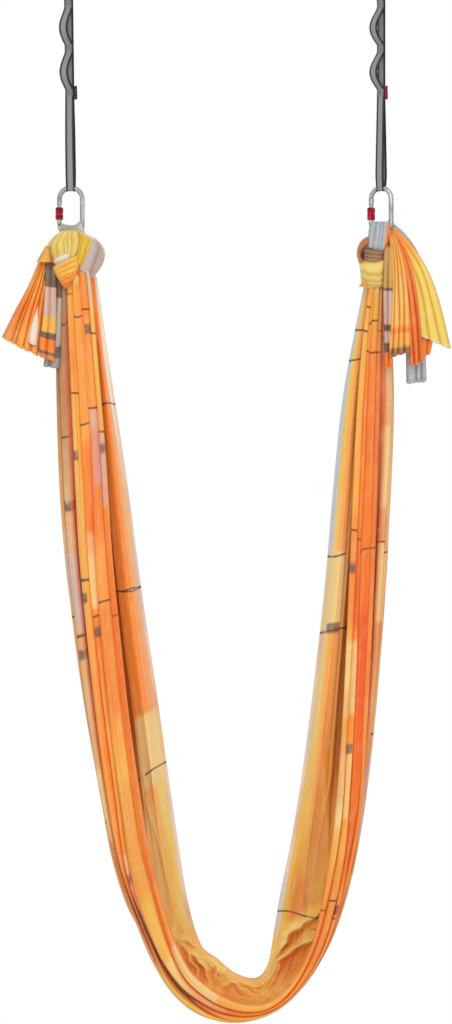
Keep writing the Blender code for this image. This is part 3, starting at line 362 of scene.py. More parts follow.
def hanging_zones(s, across, along, wash, colour):
    """Lays the hanging cloth's zones: tan outermost folds with a painted brown shadow at the left strand's
    top, a gold inner layer with painted deep orange shade by the front lip, and its pale hem.
    """
    tan_zone = s.window(across, *TAN_ZONE)
    tan_wash = s.ramp(wash, shades((0.35, 0.50, 0.65), (204, 122, 82), (228, 166, 104), (232, 196, 152)))
    colour = s.lay(colour, tan_wash, tan_zone, 0.85)
    # Painted shadow of the left tail: brown on the tan folds at the top of the left strand
    colour = s.lay(colour, srgb(150, 88, 48), tan_zone, s.step(along, 0.52, 0.22), 0.55)

    in_seat = s.window(along, *SEAT_ZONE)
    crumpled = s.window(along, *CRUMPLED_ZONE)
    soft = s.noise(s.uv(scale=(3, 0.8, 1), shift=(9, 0, 0)), 1.4, 3, 0.5)
    gold = s.ramp(soft, shades((0.30, 0.45, 0.60), (248, 178, 62), (250, 204, 92), (250, 222, 132)))
    warm = s.ramp(soft, shades((0.30, 0.48, 0.62), (246, 120, 24), (252, 156, 56), (252, 176, 84)))
    gold = s.lay(gold, warm, s.step(along, 1.07, 1.02))
    gold = s.lay(gold, warm, in_seat, 0.45)
    # Painted shade by the front lip: deep orange on the inner layer, weaker where the seat is crumpled
    lip_shade = s.minus(0.62, s.times(crumpled, 0.52))
    gold = s.lay(gold, srgb(252, 118, 26), s.step(across, *LIP_SHADE_START), lip_shade)
    colour = s.lay(colour, gold, s.step(across, *GOLD_START))

    left_top, right_top = s.step(along, *LEFT_TOP), s.step(along, *RIGHT_TOP)
    wider = s.plus(s.times(left_top, HEM_WIDER_LEFT), s.times(right_top, HEM_WIDER_RIGHT))
    inside_limit = s.step(s.minus(s.plus(HEM_LIMIT, wider), across), -0.003, 0.003)
    faded = s.minus(1.0, s.times(in_seat, 0.85))
    cloud = s.noise(s.uv(scale=(0.5, 1.4, 1)), 1.6, 2)
    hem = s.ramp(cloud, shades((0.40, 0.50, 0.62), (216, 172, 134), (238, 216, 192), (214, 214, 212)))
    hem = s.lay(hem, srgb(250, 228, 204), left_top, 0.85)
    hem = s.lay(hem, srgb(206, 214, 218), right_top, 0.9)
    return s.lay(colour, hem, s.step(across, *HEM_START), inside_limit, faded)


def tiles(s, place, seed, width, height, offset):
    """The place within its cell, and a chance for each cell, of a loose grid of tiles."""
    u = s.math("DIVIDE", s.plus(place[0], offset), width)
    v = s.math("DIVIDE", s.plus(place[1], offset * 1.7), height)
    cell = s.node("CombineXYZ", {0: s.math("FLOOR", u), 1: s.math("FLOOR", v), 2: seed + offset})
    return s.math("FRACT", u), s.math("FRACT", v), s.node("TexWhiteNoise", {"Vector": cell})


def bar(s, u, v, left, right, low, high, soft):
    """1 inside a rectangle of the cell, with soft edges."""
    return s.times(
        s.step(u, left - soft, left + soft), s.step(u, right + soft, right - soft),
        s.step(v, low - soft, low + soft), s.step(v, high + soft, high - soft),
    )


def lay_blocks(s, place, seed, colour, blocks, end):
    """Lays broad soft blocks, some pale and some lilac. The lilac ones stop where the gold layer starts."""
    u, v, chance = tiles(s, place, seed, 0.34, 0.23, 0.37)
    block = bar(s, u, v, 0.12, 0.84, 0.10, 0.80, 0.035)
    colour = s.lay(colour, PALE, block, s.math("GREATER_THAN", chance, 1 - 0.20 * blocks), 0.75)
    return s.lay(colour, LILAC, block, s.math("LESS_THAN", chance, 0.10 * blocks), end, 0.6)


def lay_dark_bars(s, place, seed, colour, blocks):
    """Lays short dark bars in pairs, broken by a brushed texture."""
    brushed = s.step(s.noise(s.uv(scale=(60, 14, 1)), 3.0, 3, 0.6), 0.30, 0.48)
    for width, height, offset, share, low, high in (
        (0.26, 0.31, 0.71, 0.17, 0.30, 0.37),
        (0.43, 0.47, 1.91, 0.20, 0.62, 0.665),
    ):
        u, v, chance = tiles(s, place, seed, width, height, offset)
        dark = bar(s, u, v, 0.15, 0.70, low, high, 0.012)
        colour = s.lay(colour, DARK, dark, s.math("LESS_THAN", chance, share * blocks), brushed, 0.85)
    return colour


def lay_lines(s, place, seed, colour, lines):
    """Lays thin dark lines across the cloth."""
    for height, offset, width in ((0.41, 0.15, 0.92), (0.63, 0.83, 1.37)):
        u, v, chance = tiles(s, place, seed, width, height, offset)
        wander = s.noise(s.uv(scale=(3, 0.5, 1), shift=(offset, 0, 0)), 1.0, 1)
        away = s.math("ABSOLUTE", s.minus(v, s.plus(0.35, s.times(wander, 0.06))))
        thin = s.step(away, LINE_WIDTH / height * 0.62, LINE_WIDTH / height * 0.25)
        drawn = s.math("GREATER_THAN", chance, 1 - 0.62 * lines)
        colour = s.lay(colour, LINE, thin, s.step(u, 0.02, 0.10), drawn, 0.9)
    return colour


def cloth_material(name, seed, stops, blocks=0.0, lines=0.0, zones=False, banded=0.0, speckle=0.0):
    """Printed tricot: a warm wash, soft pale and dark blocks, and thin dark cross lines.

    The print is laid on the cloth's own flat coordinates, so folds break it up.
    The stops colour the wash, or run down a piece of the banded length.
    Marks on the mesh add painted shade in valleys and a painted highlight on crests.
    """
    s = Shader(name, roughness=0.46, Specular_IOR_Level=0.38, Sheen_Weight=0.15, Sheen_Roughness=0.4)
    s.main.inputs["Sheen Tint"].default_value = (1.0, 0.93, 0.85, 1.0)
    place = across, along = s.split(s.uv())

    wash = s.noise(s.uv(scale=(1.5, 0.85, 1), shift=(seed, 0, 0)), 1.6, 3, 0.55, distortion=0.4)
    if banded:
        wander = s.times(s.noise(s.uv(scale=(30, 4, 1)), 1.0, 2), 0.05)
        run = s.plus(s.math("DIVIDE", along, banded), s.minus(wander, 0.025))
        colour = s.lay(s.ramp(run, stops), LIGHT, s.step(wash, 0.35, 0.7), 0.25)
    else:
        colour = s.ramp(wash, stops)
    streak = s.step(s.noise(s.uv(scale=(26, 0.9, 1), shift=(seed, 2, 0)), 1.0, 2, 0.5), 0.5, 0.75)
    colour = s.lay(colour, PALE if banded else stops[-1][1], streak, 0.06 if banded else 0.24)
    if zones:
        colour = hanging_zones(s, across, along, wash, colour)
    if blocks:
        colour = lay_blocks(s, place, seed, colour, blocks, s.step(across, 2.30, 2.20) if zones else 1.0)
    if not banded:
        u, v, chance = tiles(s, place, seed, 0.21, 0.37, 1.13)
        block = bar(s, u, v, 0.20, 0.75, 0.15, 0.78, 0.05)
        colour = s.lay(colour, stops[0][1], block, s.math("GREATER_THAN", chance, 0.62), 0.32)
    if blocks:
        colour = lay_dark_bars(s, place, seed, colour, blocks)
    if lines:
        colour = lay_lines(s, place, seed, colour, lines)

    valley = s.mark("valley")
    if zones:
        # Painted light: a painted shade band on some folds, a painted highlight on crests, and painted
        # shade in the valleys, deep orange where light bounces and dark brown in the deepest
        colour = s.lay(colour, srgb(238, 74, 8), s.mark("deep_band"), 0.8)
        colour = s.lay(colour, srgb(255, 228, 128), s.mark("crest"), 0.75)
        colour = s.lay(colour, srgb(224, 84, 14), s.step(valley, 0.0, 0.55), 0.65)
        colour = s.lay(colour, srgb(92, 38, 18), s.step(valley, 0.56, 0.84), 0.85)
    else:
        # Painted valley shade: light that bounces in a valley takes the cloth's colour twice
        twice = s.mix(1.0, s.mix(1.0, colour, colour, "MULTIPLY"), (0.72, 0.72, 0.72), "MULTIPLY")
        colour = s.lay(colour, twice, valley, 0.9)
    if speckle:
        coarse = s.noise(s.uv(), 620, 2, 0.6)
        colour = s.lay(colour, srgb(112, 100, 90), s.step(coarse, 0.50, 0.38), speckle)
        colour = s.lay(colour, srgb(244, 242, 238), s.step(coarse, 0.56, 0.66), speckle)

    # Knitted wales, snags and a soft crease texture
    knit = {"Vector": s.uv(), "Scale": 180.0, "Distortion": 1.2, "Detail": 1.0}
    bump = s.bump(s.node("TexWave", knit, bands_direction="X"), 0.22, 0.0002)
    bump = s.bump(s.noise(s.uv(scale=(9, 3.5, 1)), 4.0, 3, 0.55), 0.30, 0.004, bump)
    fade = s.noise(s.uv(scale=(5, 4, 1)), 7.0, 3, 0.6)
    colour = s.lay(colour, (1, 1, 1), s.step(fade, 0.45, 0.8), 0.10)
    return s.finish(colour, bump, s.plus(0.38, s.times(fade, 0.16)))


def steel_material(name, tint, seed):
    """Bright plated steel, softly brushed, scuffed where it is handled."""
    s = Shader(name, roughness=0.25, metallic=1.0)
    at = s.place()
    scuff = s.step(s.noise(at, 190 + seed, 4, 0.6), 0.48, 0.70)
    cloud = s.noise(at, 60, 3, 0.6)
    band = s.step(s.noise(s.place(scale=(1, 1, 0.5)), 45, 2, 0.6), 0.40, 0.62)
    hair = s.noise(s.place(scale=(1, 1, 0.12)), 1400, 2, 0.6)
    clouded, banded, scuffed = (tuple(c * share for c in tint) for share in (0.62, 0.35, 0.22))
    colour = s.mix(cloud, clouded, tint)
    colour = s.lay(colour, banded, band, 0.55)
    colour = s.lay(colour, scuffed, scuff, 0.40)
    rough = s.plus(0.24, s.times(s.plus(cloud, scuff), 0.14))
    return s.finish(colour, s.bump(cloud, 0.35, 0.0006, s.bump(hair, 0.25, 0.00008)), rough)


def sleeve_material():
    """Red anodised alloy, rubbed pale on its crests."""
    s = Shader("red_anodised_sleeve", roughness=0.26, metallic=0.9)
    at = s.place()
    edge = s.step(s.node("NewGeometry", output="Pointiness"), 0.52, 0.60)
    wear = s.times(s.step(s.noise(at, 420, 4, 0.65), 0.56, 0.72), s.plus(0.25, edge))
    colour = s.mix(s.step(s.noise(at, 110, 2), 0.38, 0.62), srgb(96, 4, 22), srgb(176, 20, 46))
    colour = s.lay(colour, srgb(226, 150, 156), wear)
    return s.finish(colour, s.bump(s.noise(at, 900, 2), 0.2, 0.0001), s.plus(0.22, s.times(wear, 0.3)))


BLACK_EDGE, EDGE_STITCH = (0.0050, 0.0056), 0.0068
PICK_PITCH, END_PITCH, SLANT_PITCH = 0.0016, 0.0013, 0.0021


def webbing_material():
    """Grey webbing with black ribbed edges and pale edge stitches."""
    s = Shader("daisy_chain_webbing", roughness=0.72, Sheen_Weight=0.05, Specular_IOR_Level=0.2)
    across, along = s.split(s.uv())
    off = s.math("ABSOLUTE", across)
    edge = s.step(off, *BLACK_EDGE)
    picks = s.math("ABSOLUTE", s.math("SINE", s.times(along, math.pi / PICK_PITCH)))
    ends = s.math("ABSOLUTE", s.math("SINE", s.times(across, math.pi / END_PITCH)))
    slant = s.math("SINE", s.times(s.plus(off, along), math.pi / SLANT_PITCH))
    grey = s.mix(s.step(slant, -0.4, 0.4), srgb(104, 105, 108), srgb(182, 183, 186))
    black = s.mix(picks, srgb(6, 6, 7), srgb(26, 26, 28))
    colour = s.mix(edge, grey, black)
    near_edge = s.math("LESS_THAN", s.math("ABSOLUTE", s.minus(off, EDGE_STITCH)), 0.0004)
    colour = s.lay(colour, srgb(170, 172, 176), s.step(picks, 0.80, 0.95), near_edge, 0.6)
    fuzz = s.noise(s.uv(scale=(900, 900, 1)), 1.0, 2)
    colour = s.lay(colour, srgb(200, 200, 204), fuzz, 0.05)
    return s.finish(colour, s.bump(s.plus(s.times(picks, ends), s.times(fuzz, 0.4)), 0.7, 0.0004))


def plain_fabric(name, colour, pale, scale):
    """Tape or thread: fine ribs with a little fuzz."""
    s = Shader(name, roughness=0.7, Sheen_Weight=0.2, Specular_IOR_Level=0.3)
    at = s.place()
    rib = s.node("TexWave", {"Vector": at, "Scale": scale / 4, "Distortion": 0.6}, bands_direction="Z")
    grain = s.plus(rib, s.noise(at, scale * 2, 3, 0.6))
    return s.finish(s.lay(colour, pale, grain, 0.4), s.bump(grain, 0.5, 0.0003))


# Camera, light and floor

CAMERA_AWAY = 12
SENSOR = 36
FLOOR_Z, FLOOR_RADIUS = -2.75, 3.0


def make_camera():
    """Looks straight at the front, with a pixel of the photograph in each of its own."""
    data = bpy.data.cameras.new("camera")
    data.sensor_width = SENSOR
    data.lens = SENSOR * CAMERA_AWAY / (PHOTO_HEIGHT * PIXEL)
    data.clip_end = 100
    camera = bpy.data.objects.new("camera", data)
    camera.location = (PHOTO_SHIFT, -CAMERA_AWAY, -(PHOTO_HEIGHT / 2 + PHOTO_TOP) * PIXEL)
    camera.rotation_euler = (math.pi / 2, 0, 0)
    bpy.context.scene.collection.objects.link(camera)
    bpy.context.scene.camera = camera


def make_light(name, place, power, size):
    data = bpy.data.lights.new(name, "AREA")
    data.energy = power
    data.size = size
    light = bpy.data.objects.new(name, data)
    light.location = place
    aim = Vector((0, 0, -1.3)) - Vector(place)
    light.rotation_euler = aim.to_track_quat("-Z", "Y").to_euler()
    bpy.context.scene.collection.objects.link(light)


def make_world():
    """Soft light all round, and plain white where the camera or a shiny surface sees it."""
    world = bpy.data.worlds.new("studio")
    world.use_nodes = True
    bpy.context.scene.world = world
    tree = world.node_tree
    soft = tree.nodes["Background"]
    soft.inputs["Color"].default_value = (0.97, 0.98, 1.0, 1.0)
    soft.inputs["Strength"].default_value = 0.70
    white = tree.nodes.new("ShaderNodeBackground")
    white.inputs["Color"].default_value = (1, 1, 1, 1)
    white.inputs["Strength"].default_value = 1.0
    path = tree.nodes.new("ShaderNodeLightPath")
    seen = path.outputs["Is Camera Ray"]
    for other in ("Is Glossy Ray", "Is Transmission Ray"):
        both = tree.nodes.new("ShaderNodeMath")
        both.operation = "MAXIMUM"
        tree.links.new(seen, both.inputs[0])
        tree.links.new(path.outputs[other], both.inputs[1])
        seen = both.outputs[0]
    mix = tree.nodes.new("ShaderNodeMixShader")
    for socket, source in zip(mix.inputs, (seen, soft.outputs[0], white.outputs[0])):
        tree.links.new(source, socket)
    tree.links.new(mix.outputs[0], tree.nodes["World Output"].inputs["Surface"])


def make_floor():
    """A pale disc under the hammock that fades into the white round it."""
    points = [(0.0, 0.0, FLOOR_Z)]
    rings, around = 12, 64
    for i in range(1, rings + 1):
        for k in range(around):
            angle = 2 * math.pi * k / around
            radius = FLOOR_RADIUS * i / rings
            points.append((radius * math.cos(angle), radius * math.sin(angle), FLOOR_Z))
    faces = [(0, 1 + k, 1 + (k + 1) % around) for k in range(around)]
    for a, b, c, d in grid_faces(rings, around, wrap_columns=True):
        faces.append((a + 1, d + 1, c + 1, b + 1))
    s = Shader("pale_floor", roughness=0.85, Specular_IOR_Level=0.1)
    place = s.place()
    colour = s.mix(s.noise(place, 2.5, 3), (0.86, 0.86, 0.86), (0.92, 0.92, 0.92))
    flat = s.node("VectorMath", {0: place, 1: (1, 1, 0)}, operation="MULTIPLY")
    far = s.node("VectorMath", {0: flat}, 1, operation="LENGTH")
    s.put(s.main.inputs["Alpha"], s.step(far, 2.8, 0.9))
    mesh_object("floor", points, faces, None, s.finish(colour))


bpy.context.scene.view_settings.view_transform = "Standard"
make_camera()
make_world()
make_light("key", (-0.7, -5.6, 1.8), 96, 4.0)
make_light("fill", (2.0, -5.2, -1.0), 50, 3.6)
make_light("back", (1.5, 4.2, 0.6), 42, 2.6)
make_floor()


# Hanging cloth

CLOTH_WIDTH, CLOTH_LENGTH = 2.8, 3.35
LINING_WIDTH = 0.42
OUTSIDE_WIDTH = CLOTH_WIDTH - LINING_WIDTH
STATIONS = 330
LINING_STATIONS = 620
LINING_COLUMNS = 110
SEAT_MIDDLE, SEAT_HALF = 0.52, 0.17
# The folds of each wall from the front lip round to the back lip: width at the
# left and right knot, the open gap after it there, and how strong its painted shade is
FRONT_FOLDS = (
    (0.13, 0.16, 0.01, 0.01, 0.80, 0.00),
    (0.27, 0.12, 0.02, 0.02, 0.10, 0.10),
    (0.08, 0.17, 0.01, 0.02, 0.00, 0.95),
    (0.19, 0.18, 0.26, 0.18, 0.00, 0.20),
    (0.17, 0.20, 0.03, 0.03, 0.00, 0.00),
    (0.16, 0.17, 0.01, 0.01, 0.00, 0.00),
)
BACK_FOLDS = (
    (0.16, 0.12, 0.01, 0.01, 0.0, 0.0),
    (0.10, 0.16, 0.02, 0.04, 0.3, 0.0),
    (0.20, 0.15, 0.04, 0.02, 0.0, 0.5),
    (0.12, 0.20, 0.02, 0.02, 0.0, 0.0),
    (0.17, 0.11, 0.02, 0.04, 0.6, 0.2),
    (0.13, 0.14, 0.04, 0.02, 0.0, 0.0),
    (0.12, 0.12, 0.01, 0.01, 0.0, 0.3),
)
TUCKS, TUCK_SHARE, TUCK_TURNS = 3, 0.007, (-70, -25, 25, 70)
OPEN_GAP, WIDE_GAP = 0.05, 0.09
BROAD_FOLD, BROAD_POINTS, NARROW_POINTS, FOLD_TURN = 0.19, 26, 18, 84
FOLD_LIFT, FOLD_SHAPE, RIPPLE_LENGTH = 14 * MM, 2.1, 34 * MM
LIFT_SHARE, SUNK_SHARE, VALLEY_PLACE = 0.42, 0.45, 0.92
# A valley's painted shade: where it starts and how far it runs, its least strength
# up in the strands, and what the seat adds
VALLEY_START, VALLEY_RUN, LEAST_VALLEY, SEAT_VALLEY = 4 * MM, 12 * MM, 0.42, 0.50
# Seeds of what wanders along a fold, each raised by the fold's number
JOG_SEED, JOG_WAVES, SINK_WAVES, SEAT_SWAY_WAVES, SEAT_SINK_WAVES = 900, 80, 40, 300, 340
# Flat cloth in a tuck and in a broad fold, and what the fold's width adds
TUCK_CLOTH, FOLD_CLOTH, WIDTH_CLOTH = 0.045, 0.03, 0.42

# Creases of the slack cloth in the seat: places in the photograph's pixels, then
# the height in millimetres and how far each falls away to its two sides
SEAT_CREASES = (
    (((172, 934), (186, 944), (197, 950), (212, 953), (224, 961), (231, 974)), 12, 15, 7),
    (((184, 952), (198, 962), (204, 973), (212, 988)), 20, 16, 7),
    (((198, 957), (213, 962), (217, 975), (213, 988)), 22, 14, 7),
    (((208, 956), (222, 964), (222, 978), (217, 992)), 18, 12, 7),
    (((218, 992), (230, 986), (240, 990), (256, 996)), 16, 8, 14),
    (((231, 975), (243, 984), (262, 992)), 16, 14, 8),
    (((262, 996), (261, 984), (268, 970)), 20, 6, 8),
    (((265, 998), (268, 975), (276, 956), (288, 938), (304, 926), (323, 911)), 30, 26, 9),
    (((268, 998), (275, 968), (289, 956), (301, 947), (312, 938), (322, 933)), 24, 22, 9),
    (((272, 998), (292, 984), (306, 968), (318, 948)), 16, 18, 10),
    (((176, 940), (188, 955), (194, 970), (198, 982)), 15, 9, 6),
    (((190, 948), (206, 956), (209, 970), (206, 984)), 14, 7, 5),
    (((270, 990), (281, 964), (296, 944), (314, 928)), 15, 9, 6),
    (((284, 994), (304, 980), (318, 962)), 12, 9, 6),
    (((243, 978), (252, 990), (262, 998)), 12, 8, 6),
)
# Fine creases between them: waves across and down the cloth, and their start
CRUMPLES = ((3.1, 9, 0.2), (-4.3, 13, 1.9), (6.1, -7, 3.1), (8.3, 19, 4.4), (-11, 11, 5.2))
CRUMPLE_HEIGHT = 11 * MM
# The inner layer: share of it that is hem, where it lies between the outside and
# the inside, and how far it rolls forward as a share of the depth
HEM_SHARE, LAYER_PLACE, ROLL_REACH = 0.08, 0.93, 1.85
# Shares of the section that the hem and the layer take, and what they gain
HEM_REACH, HEM_GAIN, LAYER_REACH, LAYER_GAIN = 0.045, 0.015, 0.52, 0.02
# Painted light in the seat: the crease height where a crest's painted highlight starts and how far it runs,
# how high the painted shade of low places reaches, and its strength
CREST_START, CREST_RUN, LOW_RUN, LOW_MARK = 11 * MM, 14 * MM, 15 * MM, 0.34


def seat_part(t, half=SEAT_HALF):
    """1 in the seat, 0 up in the strands."""
    return np.exp(-((t - SEAT_MIDDLE) / half) ** 4)


def wall_line(lip, reach, width, angle):
    """A wall of the trough in metres, from its lip round to the outer contour."""
    rise = lip * width * (1 - np.sin(angle) ** ROUNDNESS)
    return np.stack((rise, reach * np.cos(angle) ** ROUNDNESS), -1)


def run_lengths(line):
    """Length along a line down to each of its points."""
    return np.concatenate(([0], np.cumsum(np.linalg.norm(np.diff(line, axis=0), axis=1))))


def columns_at(wanted, places, table):
    """Each column of a table, read at the wanted places."""
    return np.stack([np.interp(wanted, places, column) for column in table.T], -1)


def even(line, count):
    """Places at equal distances along a line."""
    lengths = run_lengths(line)
    return columns_at(np.linspace(0, lengths[-1], count), lengths, line)


class Trough:
    """One section of the hanging cloth: maps (s, v) to the world.

    s runs from the front lip (0) round the outside to the back lip (1), and v
    from the outer side (0) to the inner (1).
    """

    SAMPLES = 61

    def __init__(self, row):
        outer_x, outer_z, lip_x, lip_z, front, floor, depth = row
        self.outer = self.world(outer_x, outer_z)
        lip = self.world(lip_x, lip_z)
        self.width = np.linalg.norm(lip - self.outer)
        self.rise = (lip - self.outer) / self.width
        reach = depth * SLING_DEPTH / 2
        angles = np.linspace(0, math.pi / 2, 48)
        half = self.SAMPLES // 2 + 1
        front_wall = even(wall_line(front, -reach, self.width, angles), half)
        back_wall = even(wall_line(1, reach, self.width, angles), half)
        self.outside = np.concatenate((front_wall, back_wall[-2::-1]))
        self.arc = run_lengths(self.outside)[-1]
        around = np.linspace(math.pi, 0, 97)
        lips = np.where(around < math.pi / 2, 1, front)
        rises = (lips - (lips - floor) * np.abs(np.sin(around)) ** ROUNDNESS) * self.width
        inside = np.stack((rises, reach * WALL_SHARE * np.cos(around)), -1)
        self.inside = even(inside, self.SAMPLES)
        self.places = np.linspace(0, 1, self.SAMPLES)

    @staticmethod
    def world(across, down):
        return np.array((MIDDLE_X + across * HALF_BOW, 0, KNOT_BOTTOM - 0.3 * MM - down * SLING_DROP))

    def sides(self, s):
        return columns_at(s, self.places, self.outside), columns_at(s, self.places, self.inside)

    def thickness(self, s):
        outside, inside = self.sides(s)
        return np.maximum(np.linalg.norm(inside - outside, axis=-1), 3 * MM)

    def at(self, s, v):
        outside, inside = self.sides(s)
        flat = outside + (inside - outside) * np.asarray(v)[..., None]
        points = self.outer + flat[..., :1] * self.rise
        points[..., 1] += flat[..., 1]
        return points


def end_rows():
    """The section rows with one more at each end, drawn up into the knots."""
    first, last = SLING_ROWS[0].copy(), SLING_ROWS[-1].copy()
    for row in (first, last):
        middle = (row[0] + row[2]) / 2
        row[0] += (middle - row[0]) * 0.22
        row[2] += (middle - row[2]) * 0.22
        row[1] = row[3] = -0.021
        row[6] *= 1.05
    return np.concatenate(([first], SLING_ROWS, [last]))


def turned(left, right, t):
    """A value that goes from the left knot's to the right knot's, turning over in the seat."""
    return left + (right - left) * even_turn(np.clip((t - 0.25) / 0.5, 0, 1))


class Fold:
    """One long fold of the hanging cloth, or a narrow tuck hidden between two.

    Every value that wanders along it has a seed of its own.
    """

    def __init__(self, number, spec, t):
        rng = np.random.default_rng(JOG_SEED + number)
        self.hidden = spec is None
        self.gaps = np.zeros((2, len(t)))
        if self.hidden:
            self.weight = np.full(len(t), TUCK_SHARE)
            self.angles = np.radians(TUCK_TURNS)
            self.deep = np.zeros(len(t))
            self.recess = (17 + 5 * waves(number, 3, 0.8, 2.0)(t)) * MM
        else:
            left, right, left_gap, right_gap, left_deep, right_deep = spec
            seat = seat_part(t)
            sway = 0.20 * waves(number, 3, 0.8, 2.6)(t)
            sway = sway + 0.55 * seat * waves(number + SEAT_SWAY_WAVES, 3, 3.0, 7.0)(t)
            sink = 5.0 * waves(number + SINK_WAVES, 3, 0.8, 2.4)(t)
            sink = sink + 9.0 * seat * waves(number + SEAT_SINK_WAVES, 3, 3.0, 7.0)(t)
            count = BROAD_POINTS if max(left, right) > BROAD_FOLD else NARROW_POINTS
            self.weight = turned(left, right, t) * np.exp(sway)
            self.angles = np.radians(np.linspace(-FOLD_TURN, FOLD_TURN, count))
            self.deep = turned(left_deep, right_deep, t)
            self.deep = self.deep * np.exp(-((np.abs(t - 0.5) - 0.22) / 0.14) ** 2)
            self.recess = np.clip(2.5 + sink, 0, 14) * MM
            self.gaps[1] = turned(left_gap, right_gap, t)
        self.jog = 0.03 * waves(number + JOG_WAVES, 3, 0.4, 1.2)(t) + rng.uniform(-0.025, 0.025)
        self.ripple = []
        for j in range(3):
            drift = waves(number * 7 + j, 3, 0.4, 1.6)
            self.ripple.append((rng.uniform(0.8, 2.6), rng.uniform(0, 6.3), drift))
        self.points = len(self.angles) + 1

    def section(self, trough, i, low, pitch, t):
        """Places s, v of the fold's points in a section and the valley after it, then painted shade marks.
        """
        before, after = np.maximum(self.gaps[:, i], 0.005)
        q = np.sin(self.angles)
        s = low + pitch * (before + (1 - before - after) * (q + 1) / 2)
        wide = pitch * trough.arc
        thick = trough.thickness(s)
        sunk = min(self.recess[i], SUNK_SHARE * float(thick.min()))
        lift = min(LIFT_SHARE * wide, FOLD_LIFT, LIFT_SHARE * float(thick.min()))
        inward = sunk + lift * (1 - (1 - np.abs(q) ** FOLD_SHAPE) ** (1 / FOLD_SHAPE))
        fade = 1 - np.abs(q) ** 3
        if not self.hidden:
            swell = 0
            for n, start, drift in self.ripple:
                turn = n * q * wide / RIPPLE_LENGTH
                swell = swell + np.sin(2 * math.pi * turn + start + 3.0 * drift(t))
            inward = inward + min(0.05 * wide, 2.0 * MM) * swell / 1.6 * fade
        v = np.maximum(inward, 0) / thick
        open_share = np.clip(self.gaps[:, i] / WIDE_GAP, 0, 1)
        least = LEAST_VALLEY + SEAT_VALLEY * seat_part(t)
        strength = least + (1 - least) * np.where(q < 0, open_share[0], open_share[1])
        valley = np.clip((inward - VALLEY_START) / VALLEY_RUN, 0, 1) * strength
        valley = np.append(valley, min(least + (1 - least) * open_share[1], 1))
        # The fold's painted shade band, fading towards its sides
        deep = np.append(self.deep[i] * fade, self.deep[i])
        return np.append(s, low + pitch), np.append(v, VALLEY_PLACE), valley, deep


def crease_height(x, y):
    """Height of the seat's creases at places in the photograph, in metres."""
    height = np.zeros_like(x)
    x = x + 1.6 * np.sin(y * 0.21 + x * 0.07) + 0.8 * np.sin(y * 0.47 + 1)
    y = y + 1.4 * np.sin(x * 0.19 + 2) + 0.8 * np.sin(x * 0.43 + y * 0.11)
    for line, crest, one_side, other_side in SEAT_CREASES:
        line = spread(line, 4 * len(line))
        nearest = np.full(x.shape, np.inf)
        signed = np.zeros_like(x)
        place = np.zeros_like(x)
        for k, (a, b) in enumerate(zip(line[:-1], line[1:])):
            run = b - a
            share = np.clip(((x - a[0]) * run[0] + (y - a[1]) * run[1]) / run.dot(run), 0, 1)
            off_x, off_y = x - a[0] - share * run[0], y - a[1] - share * run[1]
            away = np.hypot(off_x, off_y)
            closer = away < nearest
            nearest = np.where(closer, away, nearest)
            signed = np.where(closer, np.sign(run[0] * off_y - run[1] * off_x), signed)
            place = np.where(closer, (k + share) / (len(line) - 1), place)
        reach = np.where(signed > 0, other_side, one_side) * MM
        ridge = np.clip(1 - nearest * PIXEL / reach, 0, 1)
        ridge = ridge ** 1.5 * (1.9 - 0.9 * ridge)
        fade = np.sin(math.pi * np.clip(place, 0.06, 0.94)) ** 0.5
        height = np.maximum(height, crest * MM * ridge * fade)
    return height


def crumple(u, t):
    """Fine creases of the slack cloth in the seat, 0 to 1."""
    total = 0
    for n, (across, down, start) in enumerate(CRUMPLES):
        warp = 0.8 * np.sin(5 * u + 24 * t + n) + 0.5 * np.sin(33 * t + 2 * n + 3 * u)
        ridge = 1 - np.abs(np.sin(across * u + down * t * 2.2 + start + warp))
        total = total + ridge ** 2.2 / (1 + 0.45 * n)
    return total / 2.4


def stations(count, seat_share):
    """Section places along the cloth, closer together in the seat."""
    fine = np.linspace(0, 1, 2001)
    density = 1 + seat_share * seat_part(fine, 0.16)
    total = np.concatenate(([0], np.cumsum((density[1:] + density[:-1]) / 2)))
    return np.interp(np.linspace(0, total[-1], count), total, fine)


def cloth_sections(places):
    """Troughs at places along the rows, with the cloth's own length down to each."""
    fine = spread(end_rows(), 1201)
    rows = columns_at(places, np.linspace(0, 1, len(fine)), fine)
    troughs = [Trough(row) for row in rows]
    along = run_lengths(np.array([t.outer + t.rise * t.width * 0.3 for t in troughs]))
    return troughs, along * CLOTH_LENGTH / along[-1]


